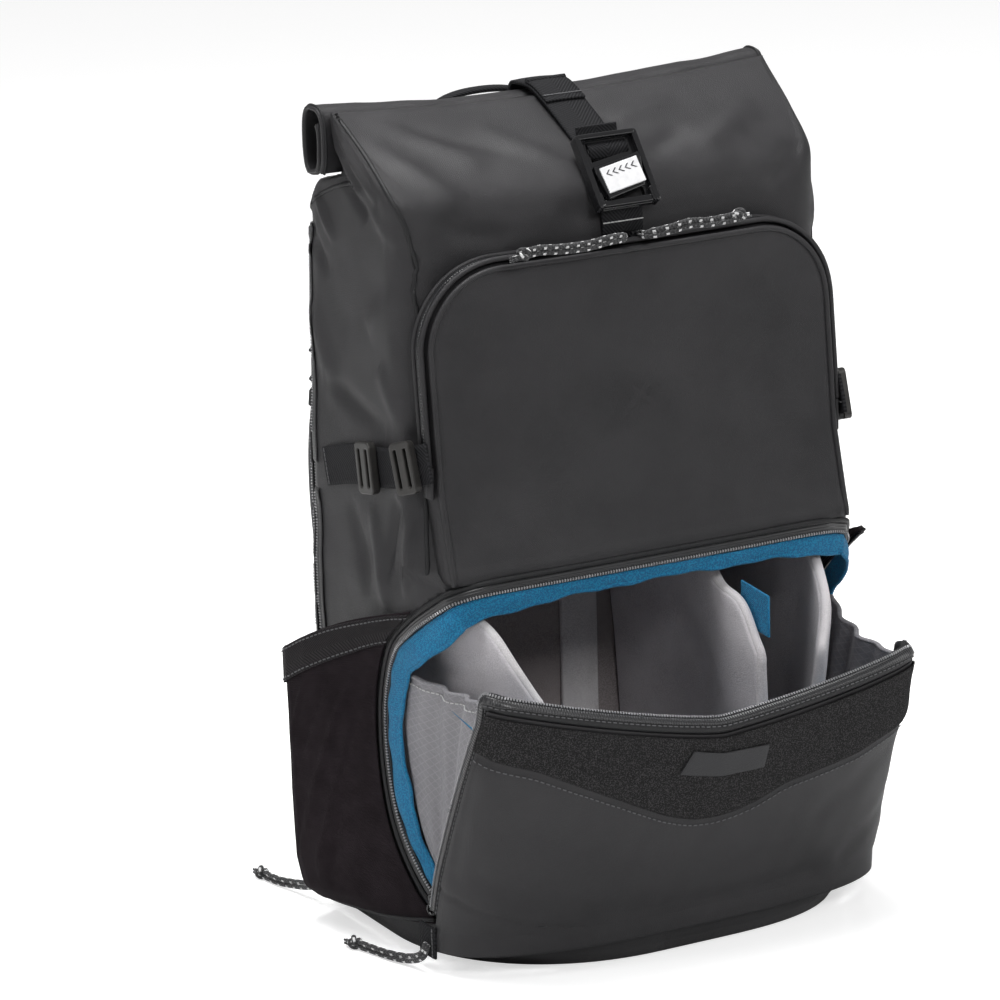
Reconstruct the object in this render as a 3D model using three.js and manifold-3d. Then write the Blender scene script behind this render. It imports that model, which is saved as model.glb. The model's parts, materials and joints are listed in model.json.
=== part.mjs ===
// Roll-top camera backpack, in millimetres. +Z is up, -Y is the front, +Y is the wearer's side.
// The origin is the middle of the base. The lower compartment is shown open, its flap tipped forward.
import * as THREE from "three";
import { mergeVertices } from "three/addons/utils/BufferGeometryUtils.js";
import Module from "manifold-3d";

const wasm = await Module();
wasm.setup();

// Driving sizes of the bag
const bodyHeight = 468;
const halfWidth = 138;
const frontReach = 132;
const backReach = 69;
const wall = 3;
const clearance = 0.3;
const ridgeSag = 6;
const frontBow = 4;

// Roll along the ridge
const rollThick = 25;
const rollTall = 40;
const rollLength = 282;
const rollWall = 3;

// Front pocket
const pocketHalfWidth = 127;
const pocketBase = 226;
const pocketDrop = 78;
const pocketTop = bodyHeight - pocketDrop;
const pocketDepth = 13;
const pocketCorner = 46;
const pocketWall = 2.5;
const pocketZipWidth = 8;
const garageLength = 18;
const garageThick = 2;

// Compartment, flap and lining
const trayHeight = 20;
const archHeight = 217;
const zipWidth = 7;
const zipThick = 1.6;
const liningWidth = 16;
const flapWall = 7;
const flapRimLeft = 167;
const flapRimCentre = 135;
const flapRimRight = 149;
const flapLean = 33;
const rimThick = 5;
const yokeThick = 1;
const badgeRise = 0.118;
const insertWall = 6;
const dividerThick = 7;
const gussetThick = 1.2;
const linerBack = 38;

// Laptop sleeve
const sleeveFront = 42;
const partitionThick = 2;
const slotHeight = 345;
const slotWidth = 9;

// Side pockets
const sideBulge = 27;
const sideCloth = 2;
const sideRear = 34;
const sideRimRear = 159;
const sideRimFront = 203;
const sideBandWidth = 20;

// Straps and buckles
const webWidth = 25;
const webThick = 2;
const buckleWidth = 40;
const buckleLength = 46;
const buckleThick = 7;
const sideWebWidth = 22;
const ladderWidth = 29;
const ladderLength = 17;
const ladderThick = 5;

// Carrying side
const padThick = 13;
const padHalfWidth = 122;
const strapWidth = 62;
const strapThick = 11;
const handleSpan = 92;
const handleDrop = 15;
const handleTop = bodyHeight - handleDrop;
const cordWidth = 6;
const sliderLength = 11;
const sliderWidth = 8;
const sliderThick = 4;

const V = (x, y, z) => new THREE.Vector3(x, y, z);
const lerp = THREE.MathUtils.lerp;
const clamp = THREE.MathUtils.clamp;

// Value of a column at a place between the rows of a table sorted by its key
function column(table, key, name, at) {
  const last = table.length - 1;
  if (at <= table[0][key]) return table[0][name];
  if (at >= table[last][key]) return table[last][name];
  let row = 1;
  while (table[row][key] < at) row += 1;
  const low = table[row - 1];
  const high = table[row];
  return lerp(low[name], high[name], (at - low[key]) / (high[key] - low[key]));
}

function rows(names, lines) {
  return lines.map((line) => Object.fromEntries(names.map((name, i) => [name, line[i]])));
}

// Body sections from base to ridge: heights are shares of bodyHeight, widths of halfWidth, front and start
// of frontReach, back of backReach. corner is the front corner's share of the half width.
const bodySections = rows(["height", "width", "front", "start", "back", "corner", "rear"], [
  [0.000, 0.94, 0.93, 0.16, 0.90, 0.86, 24],
  [0.016, 0.98, 0.98, 0.14, 0.97, 0.86, 26],
  [0.050, 1.00, 1.00, 0.14, 1.00, 0.86, 26],
  [0.230, 1.00, 0.99, 0.20, 1.00, 0.80, 26],
  [0.380, 1.00, 0.90, 0.36, 1.00, 0.50, 26],
  [0.440, 1.00, 0.76, 0.46, 1.00, 0.26, 26],
  [0.473, 0.99, 0.71, 0.50, 1.00, 0.19, 26],
  [0.482, 0.99, 0.61, 0.43, 1.00, 0.18, 26],
  [0.580, 0.98, 0.52, 0.36, 0.99, 0.17, 26],
  [0.750, 0.97, 0.46, 0.31, 0.96, 0.17, 24],
  [0.840, 0.97, 0.455, 0.30, 0.92, 0.16, 22],
  [0.875, 0.97, 0.445, 0.30, 0.88, 0.14, 20],
  [0.898, 0.97, 0.42, 0.31, 0.74, 0.11, 16],
  [0.908, 0.97, 0.395, 0.30, 0.58, 0.09, 10],
  [0.914, 0.97, 0.37, 0.29, 0.196, 0.08, 4],
  [0.930, 0.975, 0.29, 0.24, 0.196, 0.06, 3],
  [0.950, 0.985, 0.18, 0.14, 0.196, 0.04, 3],
  [0.980, 0.99, 0.01, -0.02, 0.196, 0.03, 2],
  [0.994, 0.995, -0.08, -0.085, 0.17, 0.02, 1],
]);
const cornerPower = { left: 0.95, right: 0.72 };
const roofStart = 0.93;

function sectionAt(z) {
  const share = z / bodyHeight;
  const value = (name) => column(bodySections, "height", name, share);
  return {
    half: halfWidth * value("width"),
    front: -frontReach * value("front"),
    start: -frontReach * value("start"),
    back: backReach * value("back"),
    corner: value("corner"),
    rear: value("rear"),
  };
}

// The ridge hangs a little in its middle
function sagAt(x, z) {
  const rise = clamp((z / bodyHeight - roofStart) / (1 - roofStart), 0, 1);
  const across = clamp(Math.abs(x) / halfWidth, 0, 1);
  return ridgeSag * rise * (1 - across * across);
}

// The front swells a little between its corners, above the tray and below the ridge
function bowAt(share, z) {
  const rise = clamp(z / archHeight - 0.9, 0, 1) * clamp((bodyHeight - z) / (bodyHeight * 0.06), 0, 1);
  return frontBow * rise * (1 - share * share);
}

// One closed section of the body, counter-clockwise from above, drawn in by inset
function ring(z, inset = 0, lift = 0, backLimit = backReach) {
  const s = sectionAt(z);
  const half = s.half - inset;
  const front = s.front + inset;
  const start = Math.max(s.start, front + 1.5);
  const back = Math.min(s.back - inset, backLimit);
  const rear = backLimit < s.back ? 8 : Math.max(1, Math.min(s.rear - inset * 0.5, (back - start) / 2));
  const points = [];
  const add = (x, y) => points.push(V(x, y, z + lift - sagAt(x, z)));
  const rearSteps = 2;
  const frontSteps = 5;
  for (let i = 0; i <= rearSteps; i += 1) {
    const a = (i / rearSteps) * Math.PI / 2;
    add(half - rear + rear * Math.cos(a), back - rear + rear * Math.sin(a));
  }
  for (const share of [0.5, 0, -0.5]) add((half - rear) * share, back);
  for (let i = 0; i <= rearSteps; i += 1) {
    const a = (i / rearSteps) * Math.PI / 2;
    add(-half + rear - rear * Math.sin(a), back - rear + rear * Math.cos(a));
  }
  const wide = s.corner * half;
  for (let i = 0; i <= frontSteps; i += 1) {
    const a = (i / frontSteps) * Math.PI / 2;
    const p = lerp(1, cornerPower.left, clamp(s.corner * 2 - 0.6, 0, 1));
    add(-half + wide - wide * Math.cos(a) ** p, start + (front - start) * Math.sin(a) ** p);
  }
  for (const share of [-0.5, 0, 0.5]) add((half - wide) * share, front - bowAt(share, z));
  for (let i = frontSteps; i >= 0; i -= 1) {
    const a = (i / frontSteps) * Math.PI / 2;
    const p = lerp(1, cornerPower.right, clamp(s.corner * 2 - 0.6, 0, 1));
    add(half - wide + wide * Math.cos(a) ** p, start + (front - start) * Math.sin(a) ** p);
  }
  return points;
}

// Front of the body at a place x
function frontAt(x, z) {
  const level = z + sagAt(x, z);
  const s = sectionAt(level);
  const flat = s.half * (1 - s.corner);
  const beyond = clamp((Math.abs(x) - flat) / (s.half - flat), 0, 1);
  if (beyond > 0) return s.start + (s.front - s.start) * Math.sqrt(1 - beyond * beyond);
  return s.front - bowAt(x / flat, level);
}

// Distance from the middle plane to the body's side at a place y, on the left or the right
function sideAt(y, z, side = "left") {
  const s = sectionAt(z);
  if (y >= s.start) return s.half;
  const power = lerp(1, cornerPower[side], clamp(s.corner * 2 - 0.6, 0, 1));
  const rise = clamp((y - s.start) / (s.front - s.start), 0, 1) ** (1 / power);
  const wide = s.corner * s.half;
  return s.half - wide + wide * Math.sqrt(1 - rise * rise) ** power;
}

function indexed(positions, triangles) {
  const geometry = new THREE.BufferGeometry();
  geometry.setAttribute("position", new THREE.Float32BufferAttribute(positions, 3));
  geometry.setIndex(triangles);
  return outward(geometry);
}

// Turns a closed surface right side out
function outward(geometry) {
  const p = geometry.attributes.position;
  const index = geometry.index;
  const corner = (i) => V(p.getX(index.getX(i)), p.getY(index.getX(i)), p.getZ(index.getX(i)));
  let volume = 0;
  for (let i = 0; i < index.count; i += 3) {
    volume += corner(i).dot(corner(i + 1).cross(corner(i + 2)));
  }
  if (volume < 0) {
    for (let i = 0; i < index.count; i += 3) {
      const kept = index.getX(i + 1);
      index.setX(i + 1, index.getX(i + 2));
      index.setX(i + 2, kept);
    }
  }
  return geometry;
}

// Solid through closed sections that all have the same number of points; hubLow sets its end caps at their
// lowest point, so that a sagging end stays hollow
function loft(sections, hubLow = false) {
  const count = sections[0].length;
  const positions = sections.flat().flatMap((p) => [p.x, p.y, p.z]);
  const triangles = [];
  for (let s = 0; s + 1 < sections.length; s += 1) {
    for (let i = 0; i < count; i += 1) {
      const a = s * count + i;
      const b = s * count + ((i + 1) % count);
      triangles.push(a, b, b + count, a, b + count, a + count);
    }
  }
  for (const end of [0, sections.length - 1]) {
    const middle = sections[end].reduce((sum, p) => sum.add(p), V(0, 0, 0)).divideScalar(count);
    const hub = positions.length / 3;
    const low = Math.min(...sections[end].map((p) => p.z));
    positions.push(middle.x, middle.y, hubLow ? low : middle.z);
    for (let i = 0; i < count; i += 1) {
      const a = end * count + i;
      const b = end * count + ((i + 1) % count);
      triangles.push(...(end === 0 ? [hub, b, a] : [hub, a, b]));
    }
  }
  return indexed(positions, triangles);
}

// Cloth of even thickness on a grid of points, grid[i][j]; the grid is its outer face
function sheet(grid, thick) {
  const across = grid.length;
  const along = grid[0].length;
  const at = (i, j) => grid[clamp(i, 0, across - 1)][clamp(j, 0, along - 1)];
  const positions = [];
  for (const side of [0, 1]) {
    for (let i = 0; i < across; i += 1) {
      for (let j = 0; j < along; j += 1) {
        const du = at(i + 1, j).clone().sub(at(i - 1, j));
        const dv = at(i, j + 1).clone().sub(at(i, j - 1));
        const normal = du.cross(dv).normalize();
        const p = at(i, j).clone().addScaledVector(normal, -thick * side);
        positions.push(p.x, p.y, p.z);
      }
    }
  }
  const inner = across * along;
  const id = (i, j, side) => side * inner + i * along + j;
  const triangles = [];
  const quad = (a, b, c, d) => triangles.push(a, b, c, a, c, d);
  for (let i = 0; i + 1 < across; i += 1) {
    for (let j = 0; j + 1 < along; j += 1) {
      quad(id(i, j, 0), id(i + 1, j, 0), id(i + 1, j + 1, 0), id(i, j + 1, 0));
      quad(id(i, j, 1), id(i, j + 1, 1), id(i + 1, j + 1, 1), id(i + 1, j, 1));
    }
    quad(id(i, 0, 0), id(i, 0, 1), id(i + 1, 0, 1), id(i + 1, 0, 0));
    quad(id(i, along - 1, 0), id(i + 1, along - 1, 0), id(i + 1, along - 1, 1), id(i, along - 1, 1));
  }
  for (let j = 0; j + 1 < along; j += 1) {
    quad(id(0, j, 0), id(0, j + 1, 0), id(0, j + 1, 1), id(0, j, 1));
    quad(id(across - 1, j, 0), id(across - 1, j, 1), id(across - 1, j + 1, 1), id(across - 1, j + 1, 0));
  }
  return indexed(positions, triangles);
}

// Flat band along a path: from and to are its two edges, measured from the path along side[i]
function band(path, sides, from, to, thick) {
  return sheet(path.map((p, i) => [from, to].map((w) => p.clone().addScaledVector(sides[i], w))), thick);
}

function smooth(points, count) {
  return new THREE.CatmullRomCurve3(points, false, "centripetal").getSpacedPoints(count);
}

function rod(points, diameter, steps) {
  const section = new THREE.Shape();
  section.absarc(0, 0, diameter / 2, 0, Math.PI * 2, false);
  const geometry = new THREE.ExtrudeGeometry(section, {
    steps,
    curveSegments: 4,
    bevelEnabled: false,
    extrudePath: new THREE.CatmullRomCurve3(points, false, "centripetal"),
  });
  return bare(geometry);
}

// Only positions, with shared corners
function bare(geometry) {
  geometry.deleteAttribute("normal");
  geometry.deleteAttribute("uv");
  return outward(mergeVertices(geometry, 1e-4));
}

function solid(geometry) {
  return new wasm.Manifold(new wasm.Mesh({
    numProp: 3,
    vertProperties: new Float32Array(geometry.attributes.position.array),
    triVerts: new Uint32Array(geometry.index.array),
  }));
}

function surface(manifold) {
  const mesh = manifold.getMesh();
  const positions = [];
  for (let i = 0; i < mesh.numVert; i += 1) {
    positions.push(...mesh.vertProperties.slice(i * mesh.numProp, i * mesh.numProp + 3));
  }
  return indexed(positions, Array.from(mesh.triVerts));
}

// Flat shape from its corners
function plate(corners) {
  return new THREE.Shape(corners.map(([x, y]) => new THREE.Vector2(x, y)));
}

// Flat piece with rectangular slots, each given by its middle and its two sides
function pierced(outline, depth, slots) {
  let body = solid(bare(new THREE.ExtrudeGeometry(outline, { depth, bevelEnabled: false })));
  for (const [x, y, across, along] of slots) {
    const hole = new THREE.BoxGeometry(across, along, depth * 3);
    hole.translate(x, y, depth / 2);
    body = body.subtract(solid(bare(hole)));
  }
  return surface(body);
}

const materials = {
  coated: new THREE.MeshStandardMaterial({ color: 0x414144, roughness: 0.55, metalness: 0 }),
  stretch: new THREE.MeshStandardMaterial({ color: 0x2a2629, roughness: 0.95, metalness: 0 }),
  felt: new THREE.MeshStandardMaterial({ color: 0x262626, roughness: 1, metalness: 0 }),
  blue: new THREE.MeshStandardMaterial({ color: 0x1577a8, roughness: 0.8, metalness: 0 }),
  divider: new THREE.MeshStandardMaterial({ color: 0x9b969b, roughness: 0.9, metalness: 0 }),
  ripstop: new THREE.MeshStandardMaterial({ color: 0x77777b, roughness: 0.6, metalness: 0 }),
  webbing: new THREE.MeshStandardMaterial({ color: 0x1b1b1d, roughness: 0.85, metalness: 0 }),
  zip: new THREE.MeshStandardMaterial({ color: 0x17171a, roughness: 0.35, metalness: 0.1 }),
  plastic: new THREE.MeshStandardMaterial({ color: 0x101012, roughness: 0.25, metalness: 0 }),
  plate: new THREE.MeshStandardMaterial({ color: 0xc8c9cb, roughness: 0.35, metalness: 0.7 }),
  mesh: new THREE.MeshStandardMaterial({ color: 0x232326, roughness: 0.95, metalness: 0 }),
  cord: new THREE.MeshStandardMaterial({ color: 0x1d1d1f, roughness: 0.8, metalness: 0 }),
};

const group = new THREE.Group();

function place(name, geometry, material) {
  geometry.computeVertexNormals();
  const mesh = new THREE.Mesh(geometry, materials[material]);
  mesh.name = name;
  group.add(mesh);
  return mesh;
}

// Line of the compartment zip in side view, on the body: forward is a share of frontReach, up of archHeight
const zipLine = rows(["forward", "up"], [
  [0.575, 0.112],
  [0.440, 0.210],
  [0.310, 0.345],
  [0.245, 0.500],
  [0.245, 0.660],
  [0.330, 0.800],
  [0.470, 0.880],
  [0.600, 0.940],
  [0.690, 0.985],
]);

function zipSide(count, outwardBy = 0) {
  const points = zipLine.map((row) => V(0, -frontReach * row.forward, archHeight * row.up));
  const flat = smooth(points, count);
  return flat.map((p, i) => {
    const before = flat[Math.max(i - 1, 0)];
    const after = flat[Math.min(i + 1, flat.length - 1)];
    const along = after.clone().sub(before).normalize();
    return V(0, p.y + along.z * outwardBy, p.z - along.y * outwardBy);
  });
}

// The whole zip line round the opening, with its outward direction at each point
function zipPath() {
  const left = zipSide(18).map((p) => V(-sideAt(p.y, p.z), p.y, p.z));
  const right = zipSide(18).map((p) => V(sideAt(p.y, p.z, "right"), p.y, p.z)).reverse();
  const s = sectionAt(archHeight);
  const flatHalf = s.half * (1 - s.corner);
  const top = [-0.96, -0.5, 0, 0.5, 0.96].map((share) => V(flatHalf * share, s.front, archHeight));
  return smooth([...left, ...top, ...right], 52);
}

function outwardFrom(path) {
  return path.map((p) => {
    const s = sectionAt(p.z);
    const flatHalf = s.half * (1 - s.corner);
    const x = Math.max(0, Math.abs(p.x) - flatHalf) * Math.sign(p.x);
    const y = Math.min(0, p.y - s.start);
    return V(x / (s.corner * s.half) ** 2, y / (s.front - s.start) ** 2, 0).normalize();
  });
}

function intoOpening(path) {
  const out = outwardFrom(path);
  return path.map((p, i) => {
    const before = path[Math.max(i - 1, 0)];
    const after = path[Math.min(i + 1, path.length - 1)];
    return after.clone().sub(before).normalize().cross(out[i]).normalize();
  });
}

// Block that takes away everything in front of the zip line
function openingBlock(outwardBy, low, halfSpan) {
  const edge = zipSide(18, outwardBy);
  const outline = new THREE.Shape();
  const far = -frontReach * 2;
  outline.moveTo(far, low);
  outline.lineTo(edge[0].y, low);
  for (const p of edge) outline.lineTo(p.y, p.z);
  outline.lineTo(edge[18].y - 8, archHeight + outwardBy);
  outline.lineTo(far, archHeight + outwardBy);
  outline.closePath();
  const geometry = new THREE.ExtrudeGeometry(outline, { depth: halfSpan * 2, bevelEnabled: false });
  geometry.rotateY(Math.PI / 2);
  geometry.rotateX(Math.PI / 2);
  geometry.translate(-halfSpan, 0, 0);
  return bare(geometry);
}

// Outer bag
function bodyShell() {
  const levels = bodySections.map((row) => row.height * bodyHeight);
  const outer = solid(loft(levels.map((z) => ring(z)), true));
  const inside = levels.filter((z) => z > wall && z < bodyHeight * 0.96);
  const innerRings = [ring(wall * 2, wall, -wall), ...inside.map((z) => {
    const roof = clamp((z / bodyHeight - 0.84) / 0.05, 0, 1);
    return ring(z, wall, -wall * roof);
  })];
  const inner = solid(loft(innerRings));
  const cut = solid(openingBlock(zipWidth / 2 + clearance * 4, trayHeight, halfWidth * 1.3));
  const slot = solid(laptopSlot());
  return surface(outer.subtract(inner).subtract(cut).subtract(slot));
}

// Line of the sleeve's zip in side view, from the base to its upper end
function sleeveLine(z) {
  return lerp(sleeveFront + 2, sleeveFront + 14, clamp((z - archHeight) / (bodyHeight * 0.4), 0, 1));
}

function laptopSlot() {
  const low = trayHeight + 4;
  const outline = new THREE.Shape();
  const steps = 8;
  for (let i = 0; i <= steps; i += 1) {
    const z = lerp(low, slotHeight, i / steps);
    const open = slotWidth / 2 * Math.sin(Math.PI * (0.06 + 0.88 * i / steps)) ** 0.5;
    const y = sleeveLine(z) - open + slotWidth / 2;
    if (i === 0) outline.moveTo(y, z);
    else outline.lineTo(y, z);
  }
  for (let i = steps; i >= 0; i -= 1) {
    const z = lerp(low, slotHeight, i / steps);
    const open = slotWidth / 2 * Math.sin(Math.PI * (0.06 + 0.88 * i / steps)) ** 0.5;
    outline.lineTo(sleeveLine(z) + open + slotWidth / 2, z);
  }
  outline.closePath();
  const geometry = new THREE.ExtrudeGeometry(outline, { depth: halfWidth * 0.3, bevelEnabled: false });
  geometry.rotateY(Math.PI / 2);
  geometry.rotateX(Math.PI / 2);
  geometry.translate(-halfWidth * 1.15, 0, 0);
  return bare(geometry);
}

// Roll of the mouth, a spiral of cloth standing on the ledge behind the ridge
function rollTop() {
  const roofBack = backReach * 0.196;
  const foot = bodyHeight * 0.914;
  const middleY = roofBack + clearance + rollThick / 2;
  const middleZ = foot + clearance + rollTall / 2;
  const turn = 24;
  const grid = [];
  for (let i = 0; i <= turn; i += 1) {
    const a = -Math.PI * 0.72 - (i / turn) * Math.PI * 2.62;
    const tuck = clamp((i / turn - 0.62) / 0.2, 0, 1) * 0.42;
    const c = Math.cos(a);
    const s = Math.sin(a);
    const y = Math.sign(c) * Math.abs(c) ** 0.7 * rollThick / 2 * (1 - tuck);
    const z = Math.sign(s) * Math.abs(s) ** 0.7 * rollTall / 2 * (1 - tuck);
    grid.push([1, 0.6, 0.2, -0.2, -0.6, -1].map((share) => {
      const x = share * rollLength / 2;
      return V(x, middleY + y, middleZ + z - sagAt(x, middleZ + z));
    }));
  }
  return sheet(grid, rollWall);
}

// Outline of the front pocket in front view, counter-clockwise from its lower right
function pocketOutline(inset) {
  const half = pocketHalfWidth - inset;
  const top = pocketTop - inset;
  const low = pocketBase + inset;
  const r = Math.max(pocketCorner - inset, 6);
  const points = [];
  const side = [0, 0.33, 0.66];
  side.forEach((share) => points.push([half, lerp(low, top - r, share)]));
  for (let i = 0; i <= 6; i += 1) {
    const a = (i / 6) * Math.PI / 2;
    points.push([half - r + r * Math.cos(a), top - r + r * Math.sin(a)]);
  }
  [0.5, 0, -0.5].forEach((share) => points.push([(half - r) * share, top]));
  for (let i = 0; i <= 6; i += 1) {
    const a = (i / 6) * Math.PI / 2;
    points.push([-half + r - r * Math.sin(a), top - r + r * Math.cos(a)]);
  }
  [...side].reverse().forEach((share) => points.push([-half, lerp(low, top - r, share)]));
  [-0.88, -0.5, 0, 0.5, 0.88].forEach((share) => points.push([half * share, low]));
  return points;
}

// Front face of the pocket, which leans with the body behind it
function pocketFace(x, z) {
  return frontAt(clamp(x, -pocketHalfWidth * 0.85, pocketHalfWidth * 0.85), z) - clearance - pocketDepth;
}

function frontPocket() {
  const layers = (shrink, set) => [
    [0, 0, 1], [0, 0.5, 1], [1.5, 0.86, 1], [6, 1, 1], [6, 1, 0.66], [6, 1, 0.33],
  ].map(([inset, depth, share]) => pocketOutline(inset + shrink).map(([x, z]) => {
    const middle = (pocketBase + pocketTop) / 2;
    const px = x * share;
    const pz = middle + (z - middle) * share;
    const inboard = Math.max(Math.abs(px) - pocketWall - 1, 0) * Math.sign(px);
    const seat = frontAt(inboard, pz) - clearance * 3 + (depth === 0 ? set : 0);
    return V(px, lerp(seat, pocketFace(px, pz) + (depth > 0 ? shrink : 0), depth), pz);
  }));
  const outer = solid(loft(layers(0, 0)));
  const inner = solid(loft(layers(pocketWall, pocketDepth)));
  return surface(outer.subtract(inner));
}

// Where the front pocket's zip ends on each side
const pocketZipLow = pocketBase + (pocketTop - pocketBase) * 0.36;

// Pocket's zip, up the left side, over the top and down the right
function pocketZip() {
  const start = pocketZipLow;
  const run = pocketOutline(-clearance).filter(([, z]) => z > start).reverse();
  const ends = [[-pocketHalfWidth - clearance, start], [pocketHalfWidth + clearance, start]];
  const outline = [ends[0], ...run, ends[1]];
  const path = smooth(outline.map(([x, z]) => V(x, pocketFace(x, z) + pocketDepth * 0.3, z)), 44);
  const back = path.map((p) => V(0, 1, 0).multiplyScalar(
    Math.min(pocketZipWidth, frontAt(p.x, p.z) - clearance * 2 - p.y) / pocketZipWidth,
  ));
  const out = offsetPath(path, zipThick);
  return band(out, back, 0, pocketZipWidth, zipThick);
}

// Moves a path in front view outwards from its middle line
function offsetPath(path, distance) {
  return path.map((p, i) => {
    const before = path[Math.max(i - 1, 0)];
    const after = path[Math.min(i + 1, path.length - 1)];
    const along = after.clone().sub(before).setY(0).normalize();
    return p.clone().add(V(-along.z * distance, 0, along.x * distance));
  });
}

// Flap sections from the tray to the rim: width is a share of halfWidth, lean of flapLean, edge of frontReach
const flapSections = rows(["up", "width", "lean", "edge", "power"], [
  [0.00, 1.000, 0.00, 0.625, 0.90],
  [0.25, 1.010, 0.28, 0.720, 0.88],
  [0.50, 1.010, 0.55, 0.850, 0.86],
  [0.75, 1.005, 0.80, 0.985, 0.90],
  [1.00, 0.975, 1.00, 1.100, 1.00],
]);
const rightCorner = 0.16;

function rimHeight(share) {
  const side = share < 0 ? flapRimLeft : flapRimRight;
  return lerp(flapRimCentre, side, Math.abs(share) ** 1.2);
}

// Point of the flap's outer face, across from -1 at the left edge to 1 at the right, up from 0 to 1
function flapPoint(across, up) {
  const value = (name) => column(flapSections, "up", name, up);
  const a = (across + 1) * Math.PI / 2;
  const power = value("power") - (across > 0 ? rightCorner : 0) * (1 - up);
  const half = halfWidth * value("width");
  const edge = -frontReach * value("edge");
  const front = -frontReach - flapLean * value("lean");
  const c = Math.cos(a);
  const x = -Math.sign(c) * Math.abs(c) ** power * half;
  const y = edge + (front - edge) * Math.sin(a) ** power;
  const foot = trayHeight + clearance;
  return V(x, y, foot + (rimHeight(x / half) - foot) * up);
}

function flapGrid(acrossSteps, upSteps, lowAt = () => 0) {
  const grid = [];
  for (let i = 0; i <= acrossSteps; i += 1) {
    const across = (i / acrossSteps) * 2 - 1;
    const low = lowAt(across);
    const line = [];
    for (let j = 0; j <= upSteps; j += 1) line.push(flapPoint(across, lerp(low, 1, j / upSteps)));
    grid.push(line);
  }
  return grid;
}

// Moves a grid of points along its own normals
function offsetGrid(grid, distance) {
  const last = [grid.length - 1, grid[0].length - 1];
  const at = (i, j) => grid[clamp(i, 0, last[0])][clamp(j, 0, last[1])];
  return grid.map((line, i) => line.map((p, j) => {
    const du = at(i + 1, j).clone().sub(at(i - 1, j));
    const dv = at(i, j + 1).clone().sub(at(i, j - 1));
    return p.clone().addScaledVector(du.cross(dv).normalize(), distance);
  }));
}

// Seam of the yoke, a wide V across the flap whose right arm is flatter
const yokeLine = rows(["across", "up"], [
  [-1.00, 0.830],
  [-0.83, 0.815],
  [-0.55, 0.795],
  [-0.38, 0.735],
  [-0.22, 0.660],
  [-0.07, 0.560],
  [0.00, 0.540],
  [0.05, 0.565],
  [0.15, 0.640],
  [0.37, 0.660],
  [0.67, 0.700],
  [1.00, 0.740],
]);

function yokeSeam(across) {
  return column(yokeLine, "across", "up", across);
}

// Edge of the flap from its lower left, over the rim, to its lower right, moved out by a distance
function flapEdge(distance) {
  const mid = -flapWall / 2;
  const grid = offsetGrid(flapGrid(36, 10), mid);
  const left = grid[0].map((p) => p.clone().add(V(0, distance, distance * 0.3)));
  const right = grid[36].map((p) => p.clone().add(V(0, distance, distance * 0.3)));
  const top = grid.slice(2, 35).map((line) => line[10].clone().add(V(0, 0, distance)));
  const bend = V(0, distance * 1.1, distance * 1.3);
  const corners = [grid[0][10].clone().add(bend), grid[36][10].clone().add(bend)];
  return [...left.slice(1, 10), corners[0], ...top, corners[1], ...right.slice(1, 10).reverse()];
}

function flapRim() {
  return rod(flapEdge(rimThick / 2 + clearance * 5), rimThick, 40);
}

// Blue edge sewn inside the flap below its rim
function flapLining() {
  const grid = flapGrid(24, 10).slice(2, 23).map((line) => line.slice(8));
  const inside = offsetGrid(grid, -flapWall - clearance * 3);
  return sheet(inside, gussetThick);
}

// Plain slanted patch below the rim, lower towards its right end
function badge() {
  const points = [];
  for (let i = 0; i <= 4; i += 1) {
    const across = lerp(-0.108, 0.1, i / 4);
    const low = 0.79 - across * 0.17;
    points.push([0, badgeRise].map((rise) => flapPoint(across + rise * 0.2, low + rise)));
  }
  return sheet(offsetGrid(points, yokeThick * 2 + clearance * 5), yokeThick);
}

// Width of the blue band at a place along the zip line, narrower at both of its ends
function liningAt(share) {
  const fromEnd = Math.min(share, 1 - share);
  return liningWidth * lerp(0.2, 1, clamp(fromEnd / 0.14, 0, 1));
}

function liningBand(along, into) {
  const near = zipWidth / 2 + clearance;
  return sheet(along.map((p, i) => [near + liningAt(i / (along.length - 1)), near].map(
    (w) => p.clone().addScaledVector(into[i], w),
  )), gussetThick);
}

// Fan of thin cloth from the blue band to the flap's edge
function gusset(side) {
  const count = 8;
  const name = side < 0 ? "left" : "right";
  const steps = 40;
  const line = zipSide(steps);
  const last = line.findIndex((p) => p.z > archHeight * 0.8);
  const grid = [];
  for (let i = 0; i <= count; i += 1) {
    const ribs = [];
    for (let j = 0; j <= count; j += 1) {
      const up = j / count;
      const k = Math.round(lerp(3, last, up));
      const gap = zipWidth / 2 + liningAt(k / steps * 0.36) + clearance * 3;
      const from = zipSide(steps, -gap)[k];
      const to = flapPoint(side, lerp(0.12, 1, up));
      const start = V(side * (sideAt(from.y, from.z, name) - zipThick), from.y, from.z);
      const end = V(side * (Math.abs(to.x) - flapWall * 0.5), to.y + rimThick + clearance * 18, to.z);
      start.y = Math.max(start.y, lerp(line[k].y, end.y, 0.7));
      const share = i / count;
      const p = start.lerp(end, share);
      const sag = Math.sin(Math.PI * share) * Math.sin(Math.PI * Math.min(1, up + 0.12) * 0.8);
      p.x -= side * 9 * sag;
      p.z -= 5 * sag * up;
      ribs.push(p);
    }
    grid.push(ribs);
  }
  return sheet(side < 0 ? grid : grid.reverse(), gussetThick);
}

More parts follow.
